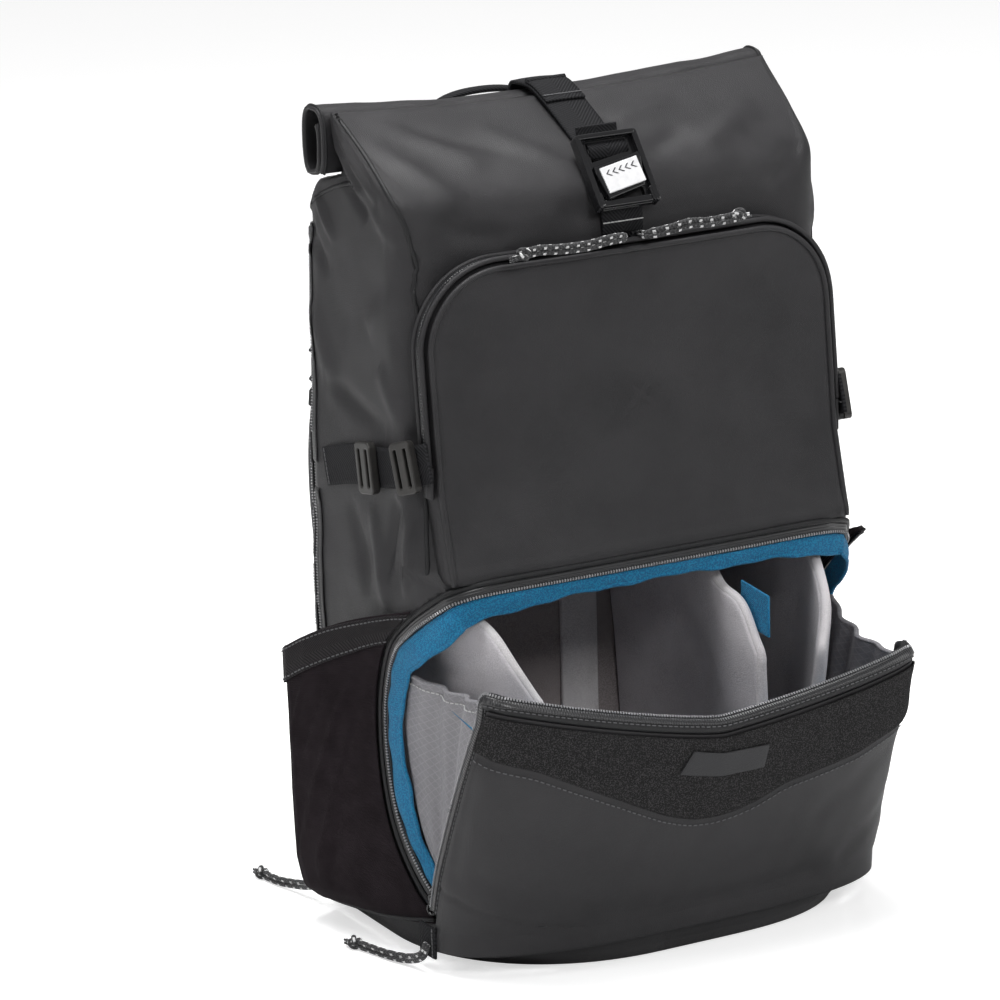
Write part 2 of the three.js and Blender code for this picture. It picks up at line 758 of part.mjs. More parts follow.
// Padded tub inside the camera compartment
function cameraInsert() {
  const inset = wall + clearance;
  const top = archHeight - zipWidth - clearance;
  const thinTop = insertWall / 2;
  const levels = bodySections.map((row) => row.height * bodyHeight).filter((z) => z > inset && z < top);
  const outer = solid(loft([
    ring(inset * 1.6, inset, inset * -0.6, linerBack),
    ...levels.map((z) => ring(z, inset, 0, linerBack)),
    ring(top, inset, 0, linerBack),
  ]));
  const deep = inset + insertWall;
  const inner = solid(loft([
    ring(deep, deep, 0, linerBack - insertWall),
    ...levels.filter((z) => z > deep && z < top - thinTop).map((z) => ring(z, deep, 0, linerBack - insertWall)),
    ring(top - thinTop, deep, 0, linerBack - insertWall),
  ]));
  const cut = solid(openingBlock(zipWidth / 2 + clearance, inset + insertWall, halfWidth * 1.3));
  return surface(outer.subtract(inner).subtract(cut));
}

const floorTop = wall + insertWall + clearance * 4;

// Plan of the side dividers from the back: x is a share of halfWidth, low and high of frontReach, top of
// archHeight
const sideDivider = rows(["x", "low", "high", "top"], [
  [0.865, -0.235, -0.235, 0.93],
  [0.860, 0.080, 0.080, 0.93],
  [0.850, 0.300, 0.320, 0.93],
  [0.835, 0.460, 0.540, 0.935],
  [0.785, 0.560, 0.720, 0.90],
  [0.745, 0.640, 0.850, 0.82],
  [0.670, 0.690, 0.940, 0.72],
]);

function divideSide(side) {
  const grid = sideDivider.map((row) => [0, 0.25, 0.5, 0.75, 1].map((up) => V(
    side * halfWidth * row.x,
    -frontReach * lerp(row.low, row.high, up),
    lerp(floorTop, archHeight * row.top, up),
  )));
  return sheet(side < 0 ? grid : grid.reverse(), dividerThick);
}

// Plan of the middle divider from the back: wave is a share of halfWidth
const middleDivider = rows(["wave", "low", "high", "top"], [
  [0.315, -0.225, -0.225, 0.92],
  [0.330, 0.020, 0.020, 0.93],
  [0.350, 0.240, 0.240, 0.945],
  [0.335, 0.440, 0.480, 0.950],
  [0.315, 0.600, 0.680, 0.895],
  [0.330, 0.730, 0.830, 0.860],
  [0.360, 0.860, 0.930, 0.740],
]);

function divideMiddle() {
  const grid = middleDivider.map((row) => [0, 0.25, 0.5, 0.75, 1].map((up) => V(
    halfWidth * (row.wave + 0.02 * Math.sin(up * 5)),
    -frontReach * lerp(row.low, row.high, up),
    lerp(floorTop, archHeight * row.top, up),
  )));
  return sheet(grid, dividerThick);
}

function dividerFold() {
  const x = halfWidth * 0.285;
  const y = linerBack - insertWall - clearance;
  const grid = [0, 0.5, 1].map((share) => [0, 0.5, 1].map((up) => V(
    x - dividerThick - share * 24, y - dividerThick * 0.5, lerp(floorTop + 30, archHeight * 0.9, up),
  )));
  return sheet(grid.reverse(), dividerThick * 0.5);
}

function dividerTab() {
  const x = halfWidth * 0.36 + clearance * 3;
  const grid = [0, 0.5, 1].map((share) => [0, 1].map((up) => V(
    x + 1.5 + 3 * share, -frontReach * 0.76 - 24 * share, archHeight * 0.8 + 24 * up - 4 * share,
  )));
  return sheet(grid.reverse(), 1.5);
}

function laptopPartition() {
  const levels = [0.009, 0.1, 0.3, 0.48, 0.6, 0.75, 0.835].map((share) => share * bodyHeight);
  const grid = [-1, 0, 1].map((side) => levels.map((z) => V(
    side * (sideAt(0, z) - wall - clearance * 5), sleeveFront - partitionThick - clearance, z,
  )));
  return sheet(grid, partitionThick);
}

// Sleeve's zip, on the front edge of its slot and closed above it
function laptopZip() {
  const path = [];
  const sides = [];
  for (let i = 0; i <= 20; i += 1) {
    const z = lerp(trayHeight + 4, bodyHeight * 0.845, i / 20);
    path.push(V(-sideAt(0, z) - clearance * 2 - zipThick, sleeveLine(z), z));
    sides.push(V(0, 1, 0));
  }
  return band(path, sides, -zipWidth, -clearance, zipThick);
}

// Plan of a side pocket from its rear edge: out is a share of sideBulge, along of its length
const pocketPlan = rows(["s", "out", "along"], [
  [0.00, 0.00, 0.00],
  [0.05, 0.62, 0.005],
  [0.12, 0.95, 0.04],
  [0.22, 1.00, 0.14],
  [0.42, 0.86, 0.34],
  [0.62, 0.58, 0.56],
  [0.82, 0.24, 0.79],
  [1.00, 0.00, 1.00],
]);
const pocketRise = rows(["up", "fill"], [
  [0.00, 0.10],
  [0.03, 0.52],
  [0.08, 0.80],
  [0.20, 0.95],
  [1.00, 1.00],
]);

// Place y of a line just behind the compartment's zip
function behindZip(z) {
  const line = zipSide(60, zipWidth / 2 + clearance * 5);
  const k = Math.max(1, line.findIndex((p) => p.z > z));
  const a = line[k - 1];
  const b = line[k];
  return lerp(a.y, b.y, clamp((z - a.z) / (b.z - a.z), 0, 1));
}

function pocketPoint(s, up, side) {
  const along = column(pocketPlan, "s", "along", s);
  const z = lerp(lerp(7, 22, along), lerp(sideRimRear, sideRimFront, along), up);
  const y = lerp(sideRear, behindZip(z), along);
  const out = sideBulge * column(pocketPlan, "s", "out", s) * column(pocketRise, "up", "fill", up);
  const seat = clearance * 3 + (sideCloth + 0.4) * clamp(s / 0.12, 0, 1);
  return V(-sideAt(y, z, side) - seat - out, y, z);
}

// Grid of a side pocket on the left; the right one is drawn here too and then mirrored
function sidePocketGrid(side, onlyBand = false) {
  const steps = [0, 0.05, 0.12, 0.22, 0.32, 0.42, 0.52, 0.62, 0.72, 0.82, 0.91, 1];
  const low = 1 - sideBandWidth / (sideRimRear - 7);
  const rim = [low, (1 + low) / 2, 1];
  const ups = onlyBand ? rim : [0, 0.03, 0.08, 0.2, 0.4, 0.6, 0.75, ...rim];
  return steps.map((s) => ups.map((up) => pocketPoint(s, up, side)));
}

// Webbing sewn round the outside of a side pocket's rim
function pocketBand(side) {
  const thick = webThick * 0.7;
  return sheet(offsetGrid(sidePocketGrid(side, true), thick + clearance), thick);
}

function mirrored(geometry) {
  const copy = geometry.clone();
  copy.scale(-1, 1, 1);
  return outward(copy);
}

// Compression strap of the left side, from the sleeve's zip to the front pocket
const sideStrapPath = rows(["y", "z"], [
  [0.45, 0.560],
  [0.00, 0.578],
  [-0.25, 0.590],
  [-0.45, 0.602],
  [-0.61, 0.616],
]);

function sideStrapPoints(out) {
  return sideStrapPath.map((row) => {
    const y = row.y > 0 ? backReach * row.y : frontReach * row.y;
    const z = bodyHeight * row.z;
    const onBody = row.y < -0.5 ? 0 : sideAt(Math.max(y, -frontReach * 0.4), z);
    const overPocket = row.y < -0.4 ? pocketHalfWidth + pocketWall : 0;
    const side = Math.max(onBody, overPocket);
    return V(-side - clearance * 2 - out, y, z);
  });
}

function sideStrap() {
  const path = smooth(sideStrapPoints(webThick), 12);
  return band(path, path.map(() => V(0, 0.22, 0.975)), -sideWebWidth / 2, sideWebWidth / 2, webThick);
}

// Flat ladder-lock with two slots for the strap
function ladder(at) {
  const a = ladderLength / 2;
  const b = ladderWidth / 2;
  const outline = plate([[-a, -b], [a, -b], [a, b], [-a, b]]);
  const slots = [-1, 1].map((side) => [side * ladderLength * 0.24, 0, 4, ladderWidth - 6]);
  const geometry = pierced(outline, ladderThick, slots);
  geometry.rotateY(-Math.PI / 2);
  geometry.rotateX(Math.PI / 2);
  geometry.rotateX(-0.22);
  const path = smooth(sideStrapPoints(webThick + clearance), 40);
  const p = path[Math.round(at * 40)];
  const q = path[Math.min(40, Math.round(at * 40) + 4)];
  geometry.rotateZ(Math.atan2(q.x - p.x, -(q.y - p.y)));
  geometry.translate(p.x - clearance, p.y, p.z);
  return geometry;
}

// Strap over the roll, in side view, lying on the cloth below it
function overStrap() {
  const roofBack = backReach * 0.196;
  const rear = roofBack + clearance + rollThick;
  const foot = bodyHeight * 0.914;
  const top = foot + clearance + rollTall - ridgeSag;
  const lift = webThick + clearance * 2;
  const points = [
    [backReach * 0.8 + lift * 1.6, bodyHeight * 0.89],
    [rear + rollThick * 0.28, foot + rollTall * 0.075],
    [rear + lift, foot + rollTall * 0.3],
    [rear + lift, top - rollTall * 0.3],
    [rear - 2, top - 2 + lift],
    [rear - rollThick * 0.4, top + lift + 0.4],
    [roofBack, top + lift],
  ].map(([y, z]) => V(0, y, z));
  for (const share of [0.977, 0.96, 0.94]) {
    const z = bodyHeight * share;
    points.push(V(0, frontAt(0, z) - lift, z + lift));
  }
  return points;
}

// The buckle's frame of reference: its middle, and its length along the roof's front slope
const buckleSeat = { y: -0.415, z: 0.912, slope: Math.atan2(38, 30) };

function topStrap() {
  const path = smooth([...overStrap(), V(0, -frontReach * 0.28, bodyHeight * 0.9615)], 36);
  return band(path, path.map(() => V(1, 0, 0)), -webWidth / 2, webWidth / 2, webThick);
}

function buckleFrame() {
  const a = buckleWidth / 2;
  const b = buckleLength / 2;
  const corners = [
    [4 - a, -b], [a - 4, -b], [a, 8 - b], [a, b - 3], [a - 3, b], [3 - a, b], [-a, b - 3], [-a, 8 - b],
  ];
  const geometry = pierced(plate(corners), buckleThick, [[0, b - 7, webWidth + 2, 6]]);
  return seatBuckle(geometry, 0);
}

// Turns a flat piece, drawn with its length along Y and its face along Z, onto the roof's front slope
function seatBuckle(geometry, out) {
  geometry.translate(0, 0, out);
  geometry.rotateX(buckleSeat.slope);
  geometry.translate(0, frontReach * buckleSeat.y, bodyHeight * buckleSeat.z);
  return geometry;
}

function bucklePlate() {
  const outline = plate([[-16, -13], [14, -13], [16, 11], [-13, 11]]);
  const geometry = new THREE.ExtrudeGeometry(outline, { depth: 1.6, bevelEnabled: false });
  return seatBuckle(bare(geometry), buckleThick + clearance);
}

function lowerWebbing() {
  const path = [0.884, 0.875, 0.865, 0.855, 0.845].map((share) => {
    const z = bodyHeight * share;
    return V(0, frontAt(0, z) - webThick - clearance, z);
  });
  return band(path, path.map(() => V(1, 0, 0)), -webWidth / 2, webWidth / 2, webThick);
}

// Padded wall against the wearer's back, following the body behind it
function backPanel() {
  const outline = rows(["z", "width"], [
    [0.023, 0.90], [0.050, 1.00], [0.230, 1.00], [0.380, 1.00], [0.440, 1.00], [0.580, 0.99],
    [0.750, 0.95], [0.840, 0.90], [0.875, 0.84], [0.898, 0.76], [0.914, 0.62],
  ]);
  const shares = [1, 0.97, 0.5, 0, -0.5, -0.97, -1];
  const face = (thick) => shares.map((side) => outline.map((row, i) => {
    const z = row.z * bodyHeight;
    const soft = Math.abs(side) === 1 || i === 0 || i === outline.length - 1 ? 0.35 : 1;
    const seat = sectionAt(Math.min(z, bodyHeight * 0.84)).back + clearance;
    const y = thick > 0 ? backReach + clearance + thick * soft : seat;
    return V(side * padHalfWidth * row.width, y, z);
  }));
  return slab(face(padThick), face(0));
}

const backFace = backReach + clearance + padThick + clearance;

// Closed solid between two grids of the same size, outer and inner
function slab(outer, inner) {
  const across = outer.length;
  const along = outer[0].length;
  const positions = [...outer.flat(), ...inner.flat()].flatMap((p) => [p.x, p.y, p.z]);
  const id = (i, j, side) => side * across * along + i * along + j;
  const triangles = [];
  const quad = (a, b, c, d) => triangles.push(a, b, c, a, c, d);
  for (let i = 0; i + 1 < across; i += 1) {
    for (let j = 0; j + 1 < along; j += 1) {
      quad(id(i, j, 0), id(i + 1, j, 0), id(i + 1, j + 1, 0), id(i, j + 1, 0));
      quad(id(i, j, 1), id(i, j + 1, 1), id(i + 1, j + 1, 1), id(i + 1, j, 1));
    }
    quad(id(i, 0, 0), id(i, 0, 1), id(i + 1, 0, 1), id(i + 1, 0, 0));
    quad(id(i, along - 1, 0), id(i + 1, along - 1, 0), id(i + 1, along - 1, 1), id(i, along - 1, 1));
  }
  for (let j = 0; j + 1 < along; j += 1) {
    quad(id(0, j, 0), id(0, j + 1, 0), id(0, j + 1, 1), id(0, j, 1));
    quad(id(across - 1, j, 0), id(across - 1, j, 1), id(across - 1, j + 1, 1), id(across - 1, j + 1, 0));
  }
  return indexed(positions, triangles);
}

// Shoulder strap from the top of the back panel down to its lower corner, in shares of bodyHeight, padHalfWidth
// and strapWidth
const strapRun = rows(["z", "x", "width"], [
  [0.895, 0.36, 0.80],
  [0.840, 0.44, 0.95],
  [0.720, 0.60, 1.00],
  [0.560, 0.72, 1.00],
  [0.400, 0.74, 0.85],
  [0.300, 0.72, 0.62],
]);

function strapPoint(row, share) {
  const z = row.z * bodyHeight;
  const x = -padHalfWidth * row.x + share * row.width * strapWidth / 2;
  return V(x, backFace, z);
}

function shoulderStrap() {
  const shares = [1, 0.85, 0, -0.85, -1];
  const inner = shares.map((share) => strapRun.map((row) => strapPoint(row, share)));
  const outer = shares.map((share) => strapRun.map((row) => {
    const thick = Math.abs(share) === 1 ? strapThick * 0.4 : strapThick;
    return strapPoint(row, share).add(V(0, thick, 0));
  }));
  return slab(outer, inner);
}

function strapWebbing() {
  const last = strapRun[strapRun.length - 1];
  const top = last.z * bodyHeight - clearance * 4;
  const points = [0, 0.5, 1].map((share) => V(
    -padHalfWidth * lerp(last.x, 0.86, share),
    backFace,
    lerp(top, bodyHeight * 0.06, share),
  ));
  return band(points, points.map(() => V(1, 0, 0.06)), -webWidth / 2, webWidth / 2, webThick);
}

function grabHandle() {
  const middle = -8;
  const y = backFace - padThick * 0.5;
  const foot = bodyHeight * 0.914 + clearance * 6;
  const points = [
    V(middle - handleSpan / 2, y, foot),
    V(middle - handleSpan * 0.44, y + 1, foot + strapThick * 0.82),
    V(middle - handleSpan * 0.25, y + 2, handleTop - 3),
    V(middle, y + 2, handleTop),
    V(middle + handleSpan * 0.25, y + 2, handleTop - 3),
    V(middle + handleSpan * 0.44, y + 1, foot + strapThick * 0.82),
    V(middle + handleSpan / 2, y, foot),
  ];
  const path = smooth(points, 20);
  return band(path, path.map(() => V(0, 1, 0)), -3, 5, 3);
}

// Cord pulls: chosen points from the slider or the tab to the knot
const cordRoutes = {
  cord_pocket_left: [
    [-6, -76.4, 395], [-9, -82, 396.5], [-20, -86, 397.5], [-34, -86, 396], [-50, -87, 396.5], [-66, -88, 398],
    [-80, -89, 396],
  ],
  cord_pocket_right: [
    [6, -76.4, 395], [9, -82, 396.5], [19, -86, 398.5], [30, -86, 400], [42, -86, 399], [55, -86, 399.5],
    [66, -86, 400],
  ],
  cord_flap_left: [
    [-143.6, -84, 17], [-144.6, -79, 9], [-147, -68, 4.4], [-152, -54, 3.2], [-157, -38, 3.2], [-161, -24, 3.2],
  ],
  cord_laptop: [
    [-143.8, 41, 24], [-143.8, 43.5, 17], [-144, 52, 10], [-145.5, 62, 6.5], [-148, 74, 4.2], [-151, 84, 3.2],
    [-153, 94, 3.2], [-154, 106, 3.2],
  ],
};

function cordRod(name) {
  return rod(cordRoutes[name].map((p) => V(...p)), cordWidth, 13);
}

// Zip slider, a small block of the given length across, depth and height, turned about the vertical
function slider(across, deep, tall, at, turn = 0) {
  const geometry = new THREE.BoxGeometry(across, deep, tall);
  geometry.rotateZ(turn);
  geometry.translate(at.x, at.y, at.z);
  return bare(geometry);
}

function pocketSlider(side) {
  const x = side * (sliderLength / 2 + clearance);
  const y = pocketFace(x, pocketTop) + pocketDepth * 0.3 + sliderWidth * 0.35;
  const z = pocketTop + clearance * 2 + zipThick + sliderThick / 2;
  return slider(sliderLength, sliderWidth, sliderThick, V(x, y, z));
}

function flapSlider() {
  const out = outwardFrom(path)[1];
  const at = path[1].clone().addScaledVector(out, sliderThick / 2 + clearance * 3);
  return slider(sliderThick, sliderWidth * 0.75, sliderLength, at, Math.atan2(out.y, out.x));
}

function laptopSlider() {
  const z = trayHeight + sliderLength;
  const x = -sideAt(0, z) - clearance * 3 - zipThick - sliderThick / 2;
  return slider(sliderThick, sliderWidth, sliderLength, V(x, sleeveLine(z) - zipWidth / 2, z));
}

function zipEndTab(side) {
  const s = flapPoint(side, 0);
  const grid = [0, 1].map((i) => [0, 0.5, 1].map((j) => V(
    side * (Math.abs(s.x) + clearance * 2 + 1.6), s.y + 14 - i * 18, lerp(8, 26, j),
  )));
  return sheet(side < 0 ? grid : grid.reverse(), 1.6);
}

function garage() {
  const z = pocketZipLow;
  const y = pocketFace(-pocketHalfWidth, z - garageLength / 2) + pocketDepth * 0.25;
  const grid = [0, 1].map((i) => [0, 1].map((j) => V(
    -pocketHalfWidth - clearance - garageThick, y + (1 - i) * garageLength / 2,
    lerp(z - garageLength, z - clearance, j),
  )));
  return sheet(grid, garageThick);
}

const path = zipPath();
const into = intoOpening(path);
place("body_shell", bodyShell(), "coated");
place("roll_top", rollTop(), "coated");
place("front_pocket", frontPocket(), "coated");
place("front_pocket_zip", pocketZip(), "zip");
place("zip_garage_left", garage(), "coated");
place("zip_garage_right", mirrored(garage()), "coated");
place("flap", sheet(flapGrid(22, 6), flapWall), "coated");
place("flap_yoke", sheet(offsetGrid(flapGrid(22, 3, yokeSeam), yokeThick + clearance * 2), yokeThick), "felt");
place("flap_rim", flapRim(), "zip");
place("flap_lining", flapLining(), "blue");
place("badge", badge(), "felt");
place("compartment_zip", band(path, into, zipWidth / 2, -zipWidth / 2, zipThick), "zip");
place("lining_band", liningBand(path, into), "blue");
place("gusset_left", gusset(-1), "ripstop");
place("gusset_right", gusset(1), "ripstop");
place("camera_insert", cameraInsert(), "divider");
place("divider_left", divideSide(-1), "divider");
place("divider_right", divideSide(1), "divider");
place("divider_centre", divideMiddle(), "divider");
place("divider_fold", dividerFold(), "divider");
place("divider_tab", dividerTab(), "blue");
place("laptop_partition", laptopPartition(), "divider");
place("laptop_zip", laptopZip(), "zip");
place("side_pocket_left", sheet(sidePocketGrid("left"), sideCloth), "stretch");
place("side_pocket_right", mirrored(sheet(sidePocketGrid("right"), sideCloth)), "stretch");
place("pocket_band_left", pocketBand("left"), "webbing");
place("pocket_band_right", mirrored(pocketBand("right")), "webbing");
place("strap_left", sideStrap(), "webbing");
place("strap_right", mirrored(sideStrap()), "webbing");
place("buckle_left_rear", ladder(0.5), "plastic");
place("buckle_left_front", ladder(0.86), "plastic");
place("buckle_right_rear", mirrored(ladder(0.5)), "plastic");
place("buckle_right_front", mirrored(ladder(0.86)), "plastic");
place("top_strap", topStrap(), "webbing");
place("top_buckle_frame", buckleFrame(), "plastic");
place("top_buckle_plate", bucklePlate(), "plate");
place("lower_webbing", lowerWebbing(), "webbing");
place("back_panel", backPanel(), "mesh");
place("shoulder_strap_left", shoulderStrap(), "mesh");
place("shoulder_strap_right", mirrored(shoulderStrap()), "mesh");
place("strap_webbing_left", strapWebbing(), "webbing");
place("strap_webbing_right", mirrored(strapWebbing()), "webbing");
place("grab_handle", grabHandle(), "webbing");
place("zip_tab_left", zipEndTab(-1), "webbing");
place("zip_tab_right", zipEndTab(1), "webbing");
place("slider_pocket_left", pocketSlider(-1), "plastic");
place("slider_pocket_right", pocketSlider(1), "plastic");
place("slider_flap_left", flapSlider(), "plastic");
place("slider_laptop", laptopSlider(), "plastic");
for (const name of Object.keys(cordRoutes)) place(name, cordRod(name), "cord");

export default group;
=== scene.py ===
# Roll-top camera backpack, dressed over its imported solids. Lengths are in millimetres until a mesh is made.
# +Z is up, -Y is the front, +Y the wearer's side, and the origin is the middle of the base.
import json
import math

import bmesh
import bpy
import numpy as np
from mathutils import Matrix, Vector
from mathutils.bvhtree import BVHTree

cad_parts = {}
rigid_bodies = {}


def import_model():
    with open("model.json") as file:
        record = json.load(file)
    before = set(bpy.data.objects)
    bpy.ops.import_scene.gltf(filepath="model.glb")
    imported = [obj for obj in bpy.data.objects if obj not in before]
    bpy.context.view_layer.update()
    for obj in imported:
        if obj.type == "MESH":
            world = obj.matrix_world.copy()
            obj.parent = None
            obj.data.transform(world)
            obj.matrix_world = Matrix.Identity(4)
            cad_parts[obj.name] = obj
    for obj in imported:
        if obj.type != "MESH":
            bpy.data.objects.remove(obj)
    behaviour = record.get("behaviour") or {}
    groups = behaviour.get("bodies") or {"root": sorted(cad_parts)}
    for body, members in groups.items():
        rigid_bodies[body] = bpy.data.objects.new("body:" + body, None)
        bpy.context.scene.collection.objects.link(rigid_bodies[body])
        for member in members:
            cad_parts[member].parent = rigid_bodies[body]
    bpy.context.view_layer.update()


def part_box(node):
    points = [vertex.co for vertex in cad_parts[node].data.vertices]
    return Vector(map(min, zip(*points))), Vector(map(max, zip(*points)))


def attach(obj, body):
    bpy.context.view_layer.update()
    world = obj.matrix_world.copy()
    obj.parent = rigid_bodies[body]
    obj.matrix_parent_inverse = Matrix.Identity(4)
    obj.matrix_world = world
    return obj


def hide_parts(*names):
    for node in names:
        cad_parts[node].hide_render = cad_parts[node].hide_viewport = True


scene = bpy.context.scene
for started_with in list(scene.objects):
    bpy.data.objects.remove(started_with)
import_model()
MM = 0.001

# Sizes of the bag
BODY_HEIGHT = 468.0
HALF_WIDTH = 138.0
FRONT_REACH = 132.0
BACK_REACH = 69.0
CLEAR = 0.3
RIDGE_SAG = 6.0
FRONT_BOW = 4.0
ROLL_THICK = 25.0
ROLL_TALL = 40.0
ROLL_LENGTH = 282.0
POCKET_HALF = 127.0
POCKET_BASE = 226.0
POCKET_TOP = 390.0
POCKET_DEPTH = 13.0
POCKET_SKIRT = 4.5
POCKET_CORNER = 46.0
TRAY_HEIGHT = 20.0
ARCH_HEIGHT = 217.0
ZIP_WIDTH = 7.0
ZIP_THICK = 1.6
LINING_WIDTH = 16.0
FLAP_WALL = 7.0
RIM_LEFT = 167.0
RIM_CENTRE = 135.0
RIM_RIGHT = 149.0
FLAP_LEAN = 33.0
LINER_BACK = 38.0
INSERT_WALL = 6.0
SLEEVE_FRONT = 42.0
SLOT_HEIGHT = 345.0
SLOT_WIDTH = 9.0
SIDE_BULGE = 27.0
SIDE_REAR = 34.0
SIDE_RIM_REAR = 159.0
SIDE_RIM_FRONT = 203.0
SIDE_BAND = 20.0
WEB_WIDTH = 25.0
WEB_THICK = 2.0
SIDE_WEB = 22.0
PAD_THICK = 13.0
PAD_HALF = 122.0
STRAP_WIDTH = 62.0
STRAP_THICK = 11.0
HANDLE_SPAN = 92.0
HANDLE_TOP = 453.0


def rows(names, lines):
    return [dict(zip(names, line)) for line in lines]


def column(table, key, name, at):
    return np.interp(at, [row[key] for row in table], [row[name] for row in table])


def smooth_column(table, key, name, at, spread):
    return np.mean([column(table, key, name, at + k * spread) for k in (-1, 0, 1)], axis=0)


# Body sections from base to ridge, as shares of the sizes above
BODY = rows(("height", "width", "front", "start", "back", "corner", "rear"), [
    (0.000, 0.94, 0.93, 0.16, 0.90, 0.86, 24),
    (0.016, 0.98, 0.98, 0.14, 0.97, 0.86, 26),
    (0.050, 1.00, 1.00, 0.14, 1.00, 0.86, 26),
    (0.230, 1.00, 0.99, 0.20, 1.00, 0.80, 26),
    (0.380, 1.00, 0.90, 0.36, 1.00, 0.50, 26),
    (0.440, 1.00, 0.76, 0.46, 1.00, 0.26, 26),
    (0.473, 0.99, 0.71, 0.50, 1.00, 0.19, 26),
    (0.482, 0.99, 0.61, 0.43, 1.00, 0.18, 26),
    (0.580, 0.98, 0.52, 0.36, 0.99, 0.17, 26),
    (0.750, 0.97, 0.46, 0.31, 0.96, 0.17, 24),
    (0.840, 0.97, 0.455, 0.30, 0.92, 0.16, 22),
    (0.875, 0.97, 0.445, 0.30, 0.88, 0.14, 20),
    (0.898, 0.97, 0.42, 0.31, 0.74, 0.11, 16),
    (0.908, 0.97, 0.395, 0.30, 0.58, 0.09, 10),
    (0.914, 0.97, 0.37, 0.29, 0.196, 0.08, 4),
    (0.930, 0.975, 0.29, 0.24, 0.196, 0.06, 3),
    (0.950, 0.985, 0.18, 0.14, 0.196, 0.04, 3),
    (0.980, 0.99, 0.01, -0.02, 0.196, 0.03, 2),
    (0.994, 0.995, -0.08, -0.085, 0.17, 0.02, 1),
])
CORNER_POWER = {"left": 0.95, "right": 0.72}
ROOF_START = 0.93


# The camera stands where the photograph was taken from
def aim_camera():
    azimuth = math.radians(-28.5)
    elevation = math.radians(16.0)
    turn = math.radians(1.5)
    flat = math.cos(elevation)
    back = Vector((math.sin(azimuth) * flat, -math.cos(azimuth) * flat, math.sin(elevation)))
    right = Vector((math.cos(azimuth), math.sin(azimuth), 0.0))
    up = back.cross(right)
    across = right * math.cos(turn) - up * math.sin(turn)
    rise = up * math.cos(turn) + right * math.sin(turn)
    lens = bpy.data.cameras.new("photo_camera")
    lens.lens = 180.0
    lens.sensor_width = 36.0
    lens.clip_end = 50.0
    camera = bpy.data.objects.new("photo_camera", lens)
    scene.collection.objects.link(camera)
    place = Matrix((across, rise, back)).transposed().to_4x4()
    place.translation = Vector((-0.045, 0.0, 0.235)) + back * 2.80
    camera.matrix_world = place
    scene.camera = camera


aim_camera()


# Lines and surfaces
def smooth_line(points, count):
    points = np.asarray(points, float)
    ends = np.vstack([2 * points[0] - points[1], points, 2 * points[-1] - points[-2]])
    line = []
    for k in range(1, len(ends) - 2):
        p0, p1, p2, p3 = ends[k - 1:k + 3]
        t = np.linspace(0, 1, 16, endpoint=False)[:, None]
        line.append(0.5 * (2 * p1 + (p2 - p0) * t + (2 * p0 - 5 * p1 + 4 * p2 - p3) * t ** 2
                           + (3 * p1 - p0 - 3 * p2 + p3) * t ** 3))
    return resample(np.vstack(line + [points[-1:]]), count)


def resample(line, count):
    steps = np.linalg.norm(np.diff(line, axis=0), axis=1)
    along = np.concatenate([[0], np.cumsum(steps)])
    at = np.linspace(0, along[-1], count)
    return np.stack([np.interp(at, along, line[:, k]) for k in range(line.shape[1])], axis=1)


def unit(vectors):
    return vectors / np.maximum(np.linalg.norm(vectors, axis=-1, keepdims=True), 1e-9)


def grid_normals(grid, closed=False):
    if closed:
        du = np.roll(grid, -1, axis=0) - np.roll(grid, 1, axis=0)
    else:
        du = np.gradient(grid, axis=0)
    return unit(np.cross(du, np.gradient(grid, axis=1)))


def add_object(name, mesh):
    piece = bpy.data.objects.new(name, mesh)
    scene.collection.objects.link(piece)
    return piece


# Mesh on a grid of points; its map, named cloth, holds real lengths in metres
def grid_piece(name, grid, closed=False):
    count, depth = grid.shape[:2]
    i = np.arange(count if closed else count - 1)
    j = np.arange(depth - 1)
    corner_i = np.stack(np.broadcast_arrays(i[:, None], i[:, None] + 1, i[:, None] + 1, i[:, None]), -1)
    corner_i = np.broadcast_to(corner_i, (len(i), len(j), 4))
    corner_j = np.broadcast_to(np.stack([j, j, j + 1, j + 1], -1)[None], (len(i), len(j), 4))
    faces = (corner_i % count) * depth + corner_j
    mesh = bpy.data.meshes.new(name)
    mesh.from_pydata((grid.reshape(-1, 3) * MM).tolist(), [], faces.reshape(-1, 4).tolist())
    wide = np.vstack([grid, grid[:1]]) if closed else grid
    across = np.linalg.norm(np.diff(wide, axis=0), axis=2).mean(axis=1)
    along = np.linalg.norm(np.diff(wide, axis=1), axis=2).mean(axis=0)
    u = np.concatenate([[0], np.cumsum(across)]) * MM
    v = np.concatenate([[0], np.cumsum(along)]) * MM
    layer = mesh.uv_layers.new(name="cloth")
    layer.data.foreach_set("uv", np.stack([u[corner_i], v[corner_j]], -1).reshape(-1))
    mesh.polygons.foreach_set("use_smooth", [True] * len(mesh.polygons))
    return add_object(name, mesh)


def close_ends(piece):
    mesh = bmesh.new()
    mesh.from_mesh(piece.data)
    bmesh.ops.holes_fill(mesh, edges=mesh.edges, sides=0)
    mesh.to_mesh(piece.data)
    mesh.free()


# Replaces a piece's mesh by what its modifiers make of it
def bake(piece):
    graph = bpy.context.evaluated_depsgraph_get()
    made = bpy.data.meshes.new_from_object(piece.evaluated_get(graph))
    piece.modifiers.clear()
    piece.data = made
    return piece


def thicken(piece, thickness, even=True):
    wall = piece.modifiers.new("thickness", "SOLIDIFY")
    wall.thickness = thickness * MM
    wall.offset = -1.0
    wall.use_even_offset = even
    return bake(piece)


def soften(piece, width, segments=2, angle=30.0):
    edge = piece.modifiers.new("soft_edges", "BEVEL")
    edge.width = width * MM
    edge.segments = segments
    edge.limit_method = "ANGLE"
    edge.angle_limit = math.radians(angle)
    return bake(piece)


